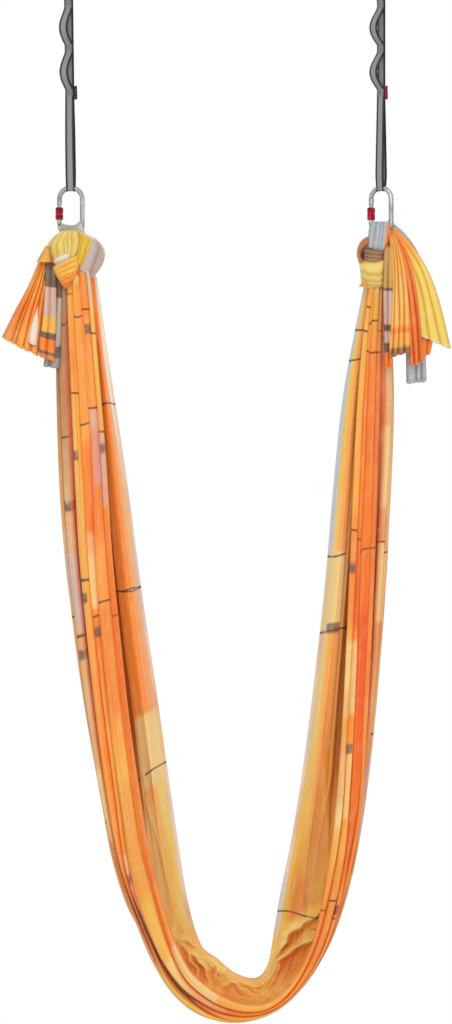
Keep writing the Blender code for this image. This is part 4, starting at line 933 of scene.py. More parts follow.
def outer_folds():
    """The folded outside of the hanging cloth: points, flat coordinates and painted shade marks."""
    troughs, along = cloth_sections(stations(STATIONS, 0.8))
    t = along / CLOTH_LENGTH
    folds, walls = [], []
    for wall, specs in enumerate((FRONT_FOLDS, BACK_FOLDS)):
        for spec in specs:
            open_after = max(spec[2:4]) > OPEN_GAP or spec is BACK_FOLDS[-1]
            for kind in [spec] + [None] * (0 if open_after else TUCKS):
                folds.append(Fold(len(folds), kind, t))
                walls.append(wall)
    broad = [fold for fold in folds if not fold.hidden]
    for fold, after in zip(broad, broad[1:]):
        after.gaps[0] = fold.gaps[1]
    weights = np.array([fold.weight for fold in folds])
    walls = np.array(walls)
    for wall in (0, 1):
        weights[walls == wall] *= 0.5 / weights[walls == wall].sum(0)
    edges = np.concatenate((np.zeros((1, STATIONS)), np.cumsum(weights, 0)))

    # Flat widths: a broad fold has more cloth on its face, and each tuck the same
    shares = []
    for fold in folds:
        shares.append(TUCK_CLOTH if fold.hidden else FOLD_CLOTH + WIDTH_CLOTH * fold.weight.mean())
    shares = np.array(shares)
    flat_edges = np.concatenate(([0], np.cumsum(shares))) / shares.sum() * OUTSIDE_WIDTH
    spans = []
    for fold, low, high in zip(folds, flat_edges, flat_edges[1:]):
        spans.append(np.linspace(low, high, fold.points + 1)[:-1])
    flat = np.concatenate(spans)
    grid = np.zeros((STATIONS, len(flat), 3))
    uv = np.zeros((STATIONS, len(flat), 2))
    marks = np.zeros((STATIONS, len(flat), 3))
    uv[:, :, 0] = flat
    for i, trough in enumerate(troughs):
        parts = [fold.section(trough, i, edges[k, i], weights[k, i], t[i]) for k, fold in enumerate(folds)]
        s, v, marks[i, :, 0], marks[i, :, 1] = (np.concatenate(values) for values in zip(*parts))
        grid[i] = trough.at(np.clip(s, 0, 1), v)
        jogs = np.concatenate([np.full(fold.points, fold.jog[i]) for fold in folds])
        uv[i, :, 1] = along[i] + jogs
    return grid, uv, marks


def inner_layer():
    """The back edge's hem and the layer inside it, slack and creased in the seat."""
    troughs, along = cloth_sections(stations(LINING_STATIONS, 4.0))
    t = along / CLOTH_LENGTH
    seat = seat_part(t)
    share = np.linspace(0, 1, LINING_COLUMNS) ** 1.4
    grid = np.zeros((LINING_STATIONS, LINING_COLUMNS, 3))
    uv = np.zeros((LINING_STATIONS, LINING_COLUMNS, 2))
    marks = np.zeros((LINING_STATIONS, LINING_COLUMNS, 3))
    hem = np.clip(share / HEM_SHARE, 0, 1)
    run = np.clip((share - HEM_SHARE) / (1 - HEM_SHARE), 0, 1)
    step = np.clip((share - HEM_SHARE) / 0.03, 0, 1)
    # Up in the strands the layer rolls forward behind the hem, then fades away
    roll = np.sin(math.pi / 2 * np.clip(run / 0.30, 0, 1)) ** 0.7
    roll = roll * (1 - 0.30 * np.clip((run - 0.35) / 0.25, 0, 1)) * np.clip((1 - run) / 0.38, 0, 1)
    for i, trough in enumerate(troughs):
        ends = math.exp(-(min(t[i], 1 - t[i]) / 0.05) ** 2)
        s_line = 1.0 - (HEM_REACH + HEM_GAIN * t[i]) * hem - (LAYER_REACH + LAYER_GAIN * seat[i]) * run
        soft = np.sin(share * 15 + 2.2 * math.sin(t[i] * 9) + 3 * t[i])
        soft = soft + 0.6 * np.sin(share * 34 + 7 * t[i] + 1)
        proud = 0.8 * MM + step * (2.5 * MM + 1.6 * MM * soft)
        grid[i] = trough.at(s_line, LAYER_PLACE + proud / trough.thickness(s_line))
        depth = grid[i, :, 1].max()
        grid[i, :, 1] -= roll * (1 - seat[i]) * (1 - ends) * ROLL_REACH * max(depth, 0)
        uv[i, :, 0] = OUTSIDE_WIDTH + LINING_WIDTH * share
        uv[i, :, 1] = along[i] + 0.02
    height = crease_height(*to_photo(grid[:, :, 0], grid[:, :, 2]))
    height = height + crumple(share[None] * 1.2, t[:, None]) * CRUMPLE_HEIGHT
    seat = seat[:, None]
    grid[:, :, 1] -= seat * np.clip(run * 12, 0, 1)[None] * height
    # Painted shade in the low places between the seat's creases, and a painted highlight on their crests
    low = np.clip(1 - height / LOW_RUN, 0, 1) ** 1.5
    marks[:, :, 0] = LOW_MARK * seat * np.clip(run * 6, 0, 1)[None] * low
    marks[:, :, 2] = seat * np.clip((height - CREST_START) / CREST_RUN, 0, 1) ** 1.2
    return grid, uv, marks


def make_cloth(material):
    """The one long cloth: its folded outside and the layer that its back edge turns in to."""
    points, faces, uvs, marks = [], [], [], []
    count = 0
    for grid, uv, mark in (outer_folds(), inner_layer()):
        rows, columns = grid.shape[:2]
        faces += [tuple(k + count for k in face) for face in grid_faces(rows, columns)]
        points.append(grid.reshape(-1, 3))
        uvs.append(uv.reshape(-1, 2))
        marks.append(mark.reshape(-1, 3))
        count += rows * columns
    cloth = mesh_object("orange_hammock_cloth", np.concatenate(points), faces, np.concatenate(uvs), material)
    # Marks for the material: painted shade in valleys and in some folds' bands, and a painted highlight on
    # crests
    for title, values in zip(("valley", "deep_band", "crest"), np.concatenate(marks).T):
        mark_points(cloth, title, values)
    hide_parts("hammock_cloth")
    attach(cloth, "hammock")


MAIN_STOPS = ((0.24, DEEP), (0.37, ORANGE), (0.52, LIGHT), (0.64, GOLD), (0.76, PALE))
make_cloth(cloth_material("orange_tricot", 1, MAIN_STOPS, blocks=1.0, lines=1.0, zones=True))


# Metal parts

STEEL = steel_material("bright_steel", (0.50, 0.50, 0.52), 0)
PIN_STEEL = steel_material("pin_steel", (0.46, 0.46, 0.48), 40)
RED = sleeve_material()


def dress(node, material):
    """Gives a CAD node its finished material."""
    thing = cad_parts[node]
    if not thing.material_slots:
        thing.data.materials.append(material)
    for place in thing.material_slots:
        place.material = material


for side in SIDES:
    dress(f"{side}_carabiner_body", STEEL)
    dress(f"{side}_gate", STEEL)
    for part in ("gate_rivet", "latch_pin", "gate_plunger", "gate_spring"):
        dress(f"{side}_{part}", PIN_STEEL)
    dress(f"{side}_screw_sleeve", RED)


# Straps

WEBBING_WIDTH, WEBBING_THICKNESS = 19.5 * MM, 1.8 * MM
TOP_LOOP_LENGTH, TOP_LOOP_RADIUS = 110 * MM, 10 * MM
TACKS, TACK_HEIGHT = 4, 15 * MM
POCKET_PITCH, POCKET_BULGE = 91 * MM, 26 * MM
BOTTOM_LOOP_LENGTH = 192.4 * MM
CUP_SPREAD, CUP_DROP, CUP_SHAPE, CUP_FADE = 3.0 * MM, 3.8 * MM, 1.5, 26 * MM
STRAND_GAP = (WEBBING_THICKNESS + 0.3 * MM) / 2
LAST_TACK = BOW_Z + BOTTOM_LOOP_LENGTH - 5.55 * MM
STITCH_ROWS, STITCH_PITCH, STITCHES, THREAD_RADIUS = 4, 3.7 * MM, 34, 0.36 * MM
STITCH_REACH, STITCH_ZIGZAG, STITCH_STRAY = 7.6, 0.95 * MM, 0.12
TAB_HEIGHT, TAB_REACH, TAB_THICKNESS = 28 * MM, 9.5 * MM, 0.35 * MM


def strap_point(side, across, through, height):
    """A place on a strap, turned and leaning as the strap is."""
    share = np.clip((height - BOW_Z) / (LAST_TACK - BOW_Z), 0, 1)
    yaw = CARABINER_YAW[side] + (STRAP_YAW[side] - CARABINER_YAW[side]) * even_turn(share)
    lean = SIDES[side] * LEAN_IN[side] * (height - BOW_Z) / -BOW_Z
    x = BOW_X[side] + lean + across * np.cos(yaw) - through * np.sin(yaw)
    return np.stack((x, across * np.sin(yaw) + through * np.cos(yaw), height + 0 * x), -1)


def tack_top(index):
    return -TOP_LOOP_LENGTH - index * POCKET_PITCH


def sling_path():
    """The strap's closed centreline: through, height and cup at even steps."""
    half = WEBBING_THICKNESS / 2
    top = TOP_LOOP_RADIUS + half
    reach = BAR_RADIUS + 0.3 * MM + half
    foot = tack_top(TACKS - 1) - TACK_HEIGHT
    fade = BOW_Z + CUP_FADE
    path = []
    for angle in np.linspace(0, math.pi, 25):
        path.append((-top * math.cos(angle), top * math.sin(angle) - TOP_LOOP_RADIUS, 0))
    for z in np.linspace(tack_top(0), foot, 90):
        path.append((STRAND_GAP, z, 0))
    opening = []
    for share in np.linspace(0, 1, 26)[1:]:
        opening.append((STRAND_GAP + (reach - STRAND_GAP) * share, foot + (fade - foot) * share, 0))
    for share in np.linspace(0, 1, 6)[1:-1]:
        opening.append((reach, fade + (BOW_Z - fade) * share, even_turn(share)))
    path += opening
    for angle in np.linspace(0, math.pi, 25):
        path.append((reach * math.cos(angle), BOW_Z - reach * math.sin(angle), 1))
    path += [(-through, height, cup) for through, height, cup in reversed(opening)]
    for index in reversed(range(TACKS)):
        for z in np.linspace(tack_top(index) - TACK_HEIGHT, tack_top(index), 7):
            path.append((-STRAND_GAP, z, 0))
        if index:
            length = POCKET_PITCH - TACK_HEIGHT
            for share in np.linspace(0, 1, 34)[1:-1]:
                swell = math.sin(math.pi * share ** 0.85) ** 1.2
                path.append((-STRAND_GAP - POCKET_BULGE * swell, tack_top(index) + length * share, 0))
    return np.array(path)


def make_webbing(side, material):
    """The closed run of webbing, with rounded selvedges."""
    path = sling_path()
    step = np.roll(path, -1, 0) - np.roll(path, 1, 0)
    size = np.hypot(step[:, 0], step[:, 1])
    normal = np.stack((step[:, 1], -step[:, 0]), -1) / size[:, None]
    gaps = np.hypot(*(np.roll(path, -1, 0) - path)[:, :2].T)
    along = np.concatenate(([0], np.cumsum(gaps)[:-1]))
    half, width = WEBBING_THICKNESS / 2, WEBBING_WIDTH / 2
    flats = np.linspace(-0.93, 0.93, 11)
    edge = [(-0.985, 0.72), (-1.0, 0.0), (-0.985, -0.72)]
    ring = [(a, 1.0) for a in flats[::-1]] + edge + [(a, -1.0) for a in flats]
    ring = np.array(ring + [(-a, o) for a, o in edge[::-1]])
    a, o = ring[None, :, 0], ring[None, :, 1]
    cup = path[:, 2:3]
    curl = cup * np.abs(a) ** CUP_SHAPE
    rumple = 0.12 * MM * np.sin(along[:, None] * 2 * math.pi / 0.019 + a * 2)
    offset = o * half + CUP_SPREAD * curl + rumple * (1 - cup)
    through = path[:, 0:1] + normal[:, 0:1] * offset
    height = path[:, 1:2] + normal[:, 1:2] * offset - CUP_DROP * curl
    across = a * width + 0 * through
    points = strap_point(side, across, through, height)
    uv = np.stack((across, along[:, None] + 0 * through), -1)
    strap = grid_object(f"{side}_daisy_chain", points, uv, material, wrap_rows=True, wrap_columns=True)
    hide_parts(f"{side}_strap_webbing", f"{side}_strap_end_loop")
    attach(strap, "straps")


def tube(line, radius, sides):
    """A round tube along a line, closed at its ends: points and faces."""
    line = np.asarray(line, float)
    points = []
    side_way = None
    for i, centre in enumerate(line):
        ahead = line[min(i + 1, len(line) - 1)] - line[max(i - 1, 0)]
        ahead /= np.linalg.norm(ahead) + 1e-12
        if side_way is None:
            side_way = np.cross(ahead, (0.0, 0.0, 1.0) if abs(ahead[2]) < 0.9 else (1.0, 0.0, 0.0))
        side_way = side_way - ahead * side_way.dot(ahead)
        side_way /= np.linalg.norm(side_way) + 1e-12
        other = np.cross(ahead, side_way)
        for k in range(sides):
            angle = 2 * math.pi * k / sides
            points.append(centre + radius * (math.cos(angle) * side_way + math.sin(angle) * other))
    faces = grid_faces(len(line), sides, wrap_columns=True)
    faces.append(tuple(range(sides))[::-1])
    faces.append(tuple((len(line) - 1) * sides + k for k in range(sides)))
    return points, faces


def make_bar_tack(side, index, material):
    """Four rows of zigzag stitches on each face of both strands."""
    face = STRAND_GAP + WEBBING_THICKNESS / 2 + 0.37 * MM
    middle = tack_top(index) - TACK_HEIGHT / 2
    verts, faces = [], []
    rng = np.random.default_rng(60 + index)
    across = np.linspace(-STITCH_REACH, STITCH_REACH, STITCHES) * MM
    for way in (-1, 1):
        for row in range(STITCH_ROWS):
            z = middle + (row - (STITCH_ROWS - 1) / 2) * STITCH_PITCH
            zigzag = np.where(np.arange(STITCHES) % 2, 1, -1) * STITCH_ZIGZAG
            stray = rng.uniform(-STITCH_STRAY, STITCH_STRAY, STITCHES) * MM
            line = strap_point(side, across, way * face + 0 * across, z + zigzag + stray)
            tubes, tube_faces = tube(line, THREAD_RADIUS, 6)
            faces += [tuple(i + len(verts) for i in f) for f in tube_faces]
            verts += tubes
    piece = mesh_object(f"{side}_stitching_{index + 1}", verts, faces, None, material)
    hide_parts(f"{side}_bar_tack_{index + 1}")
    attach(piece, "straps")


def make_tab(side, material):
    """A folded tape whose two ends are sewn between the strands."""
    low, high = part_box(f"{side}_strap_tab")
    bottom = (low.z + high.z) / 2 - TAB_HEIGHT / 2
    start = WEBBING_WIDTH / 2 - 3 * MM
    leaf = []
    for share in np.linspace(0, 1, 8):
        apart = 0.45 * MM + 0.35 * MM * math.sin(math.pi * share)
        leaf.append((start + TAB_REACH * share, apart))
    fold = []
    for angle in np.radians(np.linspace(60, -60, 7)):
        fold.append((start + TAB_REACH + 0.5 * MM * math.cos(angle), 0.5 * MM * math.sin(angle)))
    profile = np.array(leaf + fold + [(across, -apart) for across, apart in reversed(leaf)])
    rows = 15
    grid = np.zeros((rows, len(profile), 3))
    uv = np.zeros((rows, len(profile), 2))
    for i in range(rows):
        share = i / (rows - 1)
        bow = 0.4 * MM * math.sin(math.pi * share * 2)
        rise = np.full(len(profile), TAB_HEIGHT * share)
        grid[i] = strap_point(side, profile[:, 0], profile[:, 1] + bow, bottom + rise)
        uv[i] = np.stack((profile[:, 0], rise), -1)
    piece = grid_object(f"{side}_folded_tab", grid, uv, material)
    solidify(piece, TAB_THICKNESS)
    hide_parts(f"{side}_strap_tab")
    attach(piece, "straps")


WEBBING = webbing_material()
THREAD = plain_fabric("bar_tack_thread", srgb(168, 170, 174), srgb(232, 233, 236), 2400)
TAB_BLACK = plain_fabric("black_tape", srgb(16, 16, 17), srgb(70, 70, 73), 1500)
TAB_RED = plain_fabric("dark_red_tape", srgb(96, 12, 26), srgb(168, 52, 62), 1500)
for side in SIDES:
    make_webbing(side, WEBBING)
    for index in range(TACKS):
        make_bar_tack(side, index, THREAD)
    make_tab(side, TAB_BLACK if side == "left" else TAB_RED)


# Knots, collars and tails

PLEAT_ROUND = 0.62
SQUARENESS = 0.85
WRAP_SWELL = 6.5 * MM
EDGE_SPARE = 3.5 * MM
HEM_RADIUS = 2.6 * MM
SHEET_THICKNESS = 0.6 * MM
KNOT_PLEATS, KNOT_TWIST, CORE_SWELL, CORE_FOLD = 11, 1.1, 2.0 * MM, 3.2 * MM
KNOT_RADIUS = 0.05
EDGE_TUCK = 3.0
# Tails: share of the swing that the pinched top has, and how far the side edges
# and the top lie back
PINCHED, SIDE_BACK, TOP_BACK = 0.25, 4 * MM, 12 * MM
# Collars, in millimetres, on the gate's side and on the other: half the width, what
# it gains towards the bow's faces, and how far the ends dip and are drawn up
COLLAR_HALF, COLLAR_GAIN = (17.5, 22.0), (4.0, 6.0)
COLLAR_DIP, COLLAR_RISE = (3.5, 8.5), (2.0, 5.0)
COLLAR_BELOW, COLLAR_FRONT, COLLAR_SKIRT = 20.5 * MM, 17.5 * MM, 8 * MM

# Edges of each turn and loose sheet in the photograph's pixels: left x, left y,
# right x, right y, from its top row to its bottom row
EDGES = {
    "left_bulge": (
        (63, 231, 76, 231), (55, 236, 80, 234), (48, 244, 82, 241),
        (46, 252, 81, 250), (49, 259, 77, 258), (54, 264, 72, 262),
    ),
    "left_band": (
        (78, 231, 94, 239), (80, 239, 92, 247), (79, 247, 89, 254), (77, 255, 85, 261), (75, 262, 81, 269),
    ),
    "left_loop": (
        (83, 232, 97, 239), (84, 242, 103, 245.5), (83, 252, 105.4, 254), (80, 262, 102, 266),
        (78, 269, 93, 278.5),
    ),
    "left_strip": ((50.5, 261, 56, 270), (57, 257, 61, 267), (64, 254.5, 67, 263), (71.5, 254, 72, 260)),
    "left_point": (
        (53.5, 268, 79, 255.5), (55, 273, 79.5, 263), (58, 279, 78, 271), (61.5, 285, 73.5, 281),
        (65.4, 290, 67.2, 289.4),
    ),
    "left_fan": (
        (46, 247, 56, 252), (39, 262, 50, 266), (29, 286, 46, 292), (15, 313, 43, 322),
        (3, 338, 39, 356),
    ),
    "left_ribbon": ((42, 264, 47, 266), (38, 285, 44, 288), (33.5, 312, 41, 315), (29, 342, 38, 345.5)),
    "left_back": ((52, 262, 60, 262), (52, 288, 62, 288), (49, 322, 62, 322), (44, 367, 60, 369)),
    "left_stripe": (
        (46, 261, 57, 264), (45, 290, 57, 292), (43, 320, 57, 322), (40, 344, 56, 350),
        (40, 356, 56, 361),
    ),
    "left_flap": ((46.5, 246, 49.5, 248), (42, 254.5, 51, 257), (37.5, 263, 51.5, 263)),
    "right_band": (
        (371, 222, 388, 222), (369, 230, 388, 231), (367, 240, 386.5, 243), (366.5, 249, 384.5, 253),
    ),
    "right_edge": (
        (385, 222, 390, 223), (384, 231, 389.5, 232), (382, 241, 388, 243), (380, 249, 385.5, 253),
    ),
    "right_brown": ((361, 248, 363, 262), (369, 249, 370, 264), (378, 251, 378, 264), (386, 251, 385, 264)),
    "right_turn": (
        (359, 262, 361, 285), (366, 261, 366, 288), (374, 261, 374, 288), (381, 259, 380, 288),
        (386, 257, 383, 286),
    ),
    "right_loop": (
        (372, 236, 374, 241.5), (364, 238.5, 368.5, 245), (358.5, 245, 363, 250), (356.5, 254, 361, 257),
        (359, 264, 364.5, 262),
    ),
    "right_inside": (
        (370, 240, 373, 251), (364, 243, 368, 257), (360.5, 249, 364, 261), (360, 257, 361.5, 263),
    ),
    "right_tuft": ((363, 282, 368, 283), (360, 285, 367, 286), (358.5, 287.5, 365, 288.5)),
    "right_end": ((398, 250, 410, 250), (402, 290, 418, 290), (405, 330, 424, 330), (406, 383, 426, 381)),
    "right_under": (
        (391, 240, 400, 240), (400, 270, 414, 266), (408, 305, 426, 300), (413, 335, 433, 331),
        (417, 360, 430, 354),
    ),
    "right_grey_edge": (
        (389, 227, 394, 224), (397, 238, 405, 234), (406, 252, 415, 248), (414, 268, 423, 264),
    ),
    "right_sheet": (
        (388, 231, 393, 227), (396, 246, 411, 245), (407, 272, 427, 270), (414, 305, 439, 303),
        (418, 336, 450, 350),
    ),
    "right_inner": (
        (389, 231, 395, 232), (397, 254, 406, 253), (403, 285, 415, 284), (407, 320, 419, 320),
        (409, 366, 422, 362),
    ),
    "right_folds": (
        (388, 234, 393, 233), (391, 260, 402, 258), (391.5, 290, 407, 288), (389.5, 325, 409.5, 322),
        (387, 357, 410, 352),
    ),
    "right_stripe": (
        (384, 246, 391, 244), (383, 262, 394, 262), (382.5, 290, 393, 290), (383, 325, 392, 325),
        (384, 368, 392, 366),
    ),
}

CREAM, BROWN = srgb(240, 220, 196), srgb(150, 104, 66)
PINK, SHADE = srgb(216, 182, 166), srgb(98, 84, 74)
EVEN_PLACES, EARLY_PLACES = (0.30, 0.50, 0.70), (0.30, 0.45, 0.62)


def bands(*marks):
    """Stops of a ramp with a crisp change at each mark: share, then colour."""
    stops = []
    for (share, colour), (after, _) in zip(marks, marks[1:] + ((1.0, None),)):
        stops += [(share, colour), (after - 0.012, colour)]
    return tuple(stops)


STRIPE_BANDS = bands(
    (0.0, SHADE), (0.27, PINK), (0.55, GOLD), (0.70, SHADE), (0.76, ORANGE), (0.88, SHADE), (0.91, ORANGE)
)
TAN_BANDS = bands(
    (0.0, srgb(206, 160, 84)), (0.38, SHADE), (0.40, PINK), (0.66, SHADE), (0.71, PINK), (0.80, SHADE),
    (0.87, ORANGE),
)
BACK_BANDS = bands((0.0, SHADE), (0.36, srgb(196, 186, 172)), (0.80, SHADE), (0.90, srgb(176, 168, 158)))
SHEET_BANDS = shades((0.0, 0.22, 0.40, 0.95), (250, 150, 56), (250, 168, 66), (246, 206, 96), (240, 208, 90))
SHEET_BANDS += ((1.0, CREAM),)
FOLD_BANDS = shades(
    (0.0, 0.25, 0.55, 0.74, 0.79, 0.82, 0.905),
    (222, 172, 78), (240, 180, 80), (244, 198, 106), (246, 188, 86),
    (240, 128, 40), (246, 182, 84), (244, 176, 78),
)
FOLD_BANDS += ((0.925, BROWN),)
FAN_BANDS = shades((0.0, 0.35, 0.62, 1.0), (236, 140, 44), (250, 172, 66), (248, 142, 44), (250, 184, 84))
POINT_BANDS = shades((0.0, 0.35, 0.62, 1.0), (246, 200, 78), (250, 184, 66), (250, 150, 44), (240, 112, 22))

# Soft prints: slot, start of the material's name, seed, places of three colours
SOFT_PRINTS = {
    "yellow": ("gold", "yellow", 2, EARLY_PLACES, (222, 178, 52), (240, 208, 96), (246, 226, 140)),
    "bright": ("gold", "bright_yellow", 9, EARLY_PLACES, (226, 170, 20), (244, 204, 52), (248, 220, 100)),
    "lilac": ("pale", "lilac", 3, EVEN_PLACES, (186, 164, 152), (208, 188, 172), (222, 206, 190)),
    "warm": ("orange", "warm", 4, (0.26, 0.40, 0.60), (236, 92, 14), (250, 140, 40), (250, 186, 78)),
    "beige": ("pale", "beige", 5, EVEN_PLACES, (164, 152, 140), (200, 190, 178), (224, 218, 208)),
    "cream": ("pale", "cream", 18, EVEN_PLACES, (236, 208, 178), (244, 224, 202), (248, 234, 218)),
    "rust": ("orange", "rust", 19, EVEN_PLACES, (150, 80, 46), (204, 120, 62), (232, 160, 108)),
    "grey": ("pale", "grey", 6, EVEN_PLACES, (150, 156, 162), (184, 190, 194), (212, 214, 212)),
    "brown": ("pale", "brown", 7, EVEN_PLACES, (126, 84, 52), (166, 118, 76), (192, 146, 100)),
    # The dark print is painted shade, for the hollow inside the right loop
    "dark": ("pale", "dark", 8, EVEN_PLACES, (84, 76, 68), (116, 108, 98), (150, 140, 126)),
    "red": ("orange", "deep_orange", 10, EVEN_PLACES, (216, 96, 30), (238, 124, 42), (250, 158, 68)),
}
# Banded prints: slot, start of the material's name, seed, length, stops
BANDED_PRINTS = {
    "stripe": ("pale", "banded", 11, 0.22, STRIPE_BANDS),
    "tan": ("gold", "tan_banded", 12, 0.27, TAN_BANDS),
    "sheet": ("gold", "yellow_sheet", 13, 0.27, SHEET_BANDS),
    "folds": ("gold", "gold_fold", 14, 0.27, FOLD_BANDS),
    "back": ("pale", "smoke_banded", 15, 0.23, BACK_BANDS),
    "fan": ("orange", "orange_fan", 16, 0.24, FAN_BANDS),
    "point": ("orange", "pointed_lobe", 17, 0.075, POINT_BANDS),
}
PRINT_EXTRAS = {
    "warm": {"blocks": 0.2, "lines": 0.4},
    "beige": {"speckle": 0.55},
    "red": {"lines": 0.3},
    "folds": {"lines": 0.25},
    "fan": {"lines": 0.25},
}
PRINTS, SLOT_OF = {}, {}
for title, (slot, start, seed, places, *colours) in SOFT_PRINTS.items():
    extras = PRINT_EXTRAS.get(title, {})
    PRINTS[title] = cloth_material(start + "_tricot", seed, shades(places, *colours), **extras)
    SLOT_OF[title] = slot + "_cloth"
for title, (slot, start, seed, length, stops) in BANDED_PRINTS.items():
    extras = PRINT_EXTRAS.get(title, {})
    PRINTS[title] = cloth_material(start + "_tricot", seed, stops, banded=length, **extras)
    SLOT_OF[title] = slot + "_cloth"


def knot_section(side, z):
    """Centre and half sizes of a knot's body at a height."""
    h = np.clip((KNOT_TOP - np.asarray(z)) / KNOT_HEIGHT, 0, 1)
    fine = spread(KNOT_ROWS[side], 60)
    window = np.ones(13) / 13
    smooth = [np.convolve(np.pad(column, 6, mode="edge"), window, "valid") for column in fine.T[1:]]
    left, right, front, back = (np.interp(h, fine[:, 0], column) for column in smooth)
    swell = WRAP_SWELL * np.sin(math.pi * h)
    centre_x = BOW_X[side] + (left + right) * KNOT_WIDTH / 2
    centre_y = (front + back) * KNOT_DEPTH / 2
    half_x = (right - left) * KNOT_WIDTH / 2 - swell
    half_y = (back - front) * KNOT_DEPTH / 2 - swell
    return centre_x, centre_y, half_x, half_y


def on_knot(side, x, z, lift, spare=EDGE_SPARE):
    """Depth of a place on the front of a knot, stood out by a lift."""
    centre_x, centre_y, half_x, half_y = knot_section(side, z)
    reach = half_x + np.maximum(lift, 0) + spare
    turn = np.clip(np.abs(x - centre_x) / reach, 0, 1) ** (1 / SQUARENESS)
    return centre_y - (half_y + lift) * np.clip(1 - turn ** 2, 0, 1) ** (SQUARENESS / 2)


def arc_uv(grid):
    """Flat coordinates of a sheet from its own lengths, in metres."""
    across = np.linalg.norm(np.diff(grid, axis=1), axis=2)
    down = np.linalg.norm(np.diff(grid, axis=0), axis=2)
    wide = np.concatenate(([0], np.cumsum(across.mean(0))))
    long = np.concatenate(([0], np.cumsum(down.mean(1))))
    return np.stack(np.meshgrid(wide, long), -1)


def loose_sheet(name, points, uv, print_name, valley=None, thick=False, standin=None):
    """A sheet of cloth that rides on the hammock. Its flat size is that of its flat coordinates."""
    piece = grid_object(name, points, uv, PRINTS[print_name])
    # The valley mark paints shade into the sheet's valleys
    if valley is not None:
        mark_points(piece, "valley", valley)
    if thick:
        solidify(piece, SHEET_THICKNESS)
    if standin:
        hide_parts(standin)
    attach(piece, "hammock")


def pleats(seed, folds, s, t):
    """Uneven pleats across s that wander with t: 0 in a valley, up to 1 on a crest."""
    rng = np.random.default_rng(seed)
    widths = rng.uniform(0.5, 1.6, folds)
    edges = np.concatenate(([0], np.cumsum(widths))) / widths.sum()
    heights = np.append(rng.uniform(0.55, 1.0, folds), 0.7)
    wander = 0.05 * waves(seed + 1, 3, 0.4, 1.1)(t) + 0.02 * waves(seed + 2, 3, 1.0, 2.5)(t + 0.5 * s)
    place = np.interp(np.clip(s + wander * np.sin(math.pi * s), 0, 1), edges, np.arange(folds + 1))
    crest = np.abs(np.sin(math.pi * place)) ** PLEAT_ROUND
    return crest * np.interp(place, np.arange(folds + 1), heights)


def pixel_grid(title, rows, columns):
    """Pixels, then shares across and down, of a sheet given by its two edges."""
    lines = spread(EDGES[title], rows)
    s = np.linspace(0, 1, columns)[None]
    t = np.linspace(0, 1, rows)[:, None]
    px = lines[:, 0:1] + (lines[:, 2:3] - lines[:, 0:1]) * s
    py = lines[:, 1:2] + (lines[:, 3:4] - lines[:, 1:2]) * s
    return px, py, s, t


def edge_share(share, rim):
    """0 at both ends of a share from 0 to 1, and 1 further in than the rim."""
    return np.clip(np.minimum(share, 1 - share) / rim, 0, 1)


def make_wrap(side, name, print_name, lift, folds, pleat, seed, rim=0.10, spare=EDGE_SPARE):
    """A turn of cloth laid over a knot's face, in pleats. Lift and pleat are in millimetres."""
    px, py, s, t = pixel_grid(f"{side}_{name}", 56, max(48, folds * 14))
    x, z = from_photo(px, py)
    crest = pleats(seed, folds, s + 0 * t, t)
    bulge = np.sin(edge_share(s, rim) * math.pi / 2) * np.sin(edge_share(t, rim) * math.pi / 2)
    crown = 0.7 + 0.3 * np.sin(math.pi * s) * np.sin(math.pi * t)
    raised = (lift * crown * bulge - EDGE_TUCK * (1 - bulge) + pleat * (crest - 0.7) * bulge) * MM
    points = np.stack((x, on_knot(side, x, z, raised, spare), z), -1)
    # Painted shade in the pleats' valleys, fading out towards the edges
    valley = np.clip(0.85 - crest, 0, 1) * bulge
    loose_sheet(f"{side}_knot_{name}", points, arc_uv(points), print_name, valley)


def make_knot_body(side, print_name):
    """The closed core of a knot, folded all round, that the turns lie on."""
    h = np.linspace(0, 1, 60)[:, None]
    around = np.linspace(0, 2 * math.pi, 181)[None, :-1]
    z = KNOT_TOP - KNOT_HEIGHT * h
    centre_x, centre_y, half_x, half_y = knot_section(side, z)
    slim = 1 - 0.30 * np.clip((h - 0.5) / 0.35, 0, 1) ** 1.5
    a = around + KNOT_TWIST * h
    phase = KNOT_PLEATS * a + 1.3 * np.sin(2 * a + 3 * h) + waves(3, 3, 0.5, 1.5)(h) * 2
    fold = (np.abs(np.cos(phase / 2)) ** 0.8 - 0.6) * CORE_FOLD
    fold = fold * (0.6 + 0.4 * np.sin(3 * around + 5 * h))
    swell = np.sin(math.pi * h) * (fold - CORE_SWELL) + 0.3 * fold
    cos, sin = np.cos(around), np.sin(around)
    x = centre_x + (half_x * slim + swell) * np.sign(cos) * np.abs(cos) ** SQUARENESS
    y = centre_y + (half_y * slim + swell) * np.sign(sin) * np.abs(sin) ** SQUARENESS
    points = np.stack((x, y, z + 0 * x), -1)
    uv = np.stack((np.abs(around - math.pi) * KNOT_RADIUS + 0 * x, h * KNOT_HEIGHT + 0 * x), -1)
    rows, columns = x.shape
    faces = grid_faces(rows, columns, wrap_columns=True)
    faces.append(tuple(range(columns)))
    faces.append(tuple((rows - 1) * columns + k for k in reversed(range(columns))))
    title = f"{side}_knot_core"
    piece = mesh_object(title, points.reshape(-1, 3), faces, uv.reshape(-1, 2), PRINTS[print_name])
    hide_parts(f"{side}_knot")
    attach(piece, "hammock")


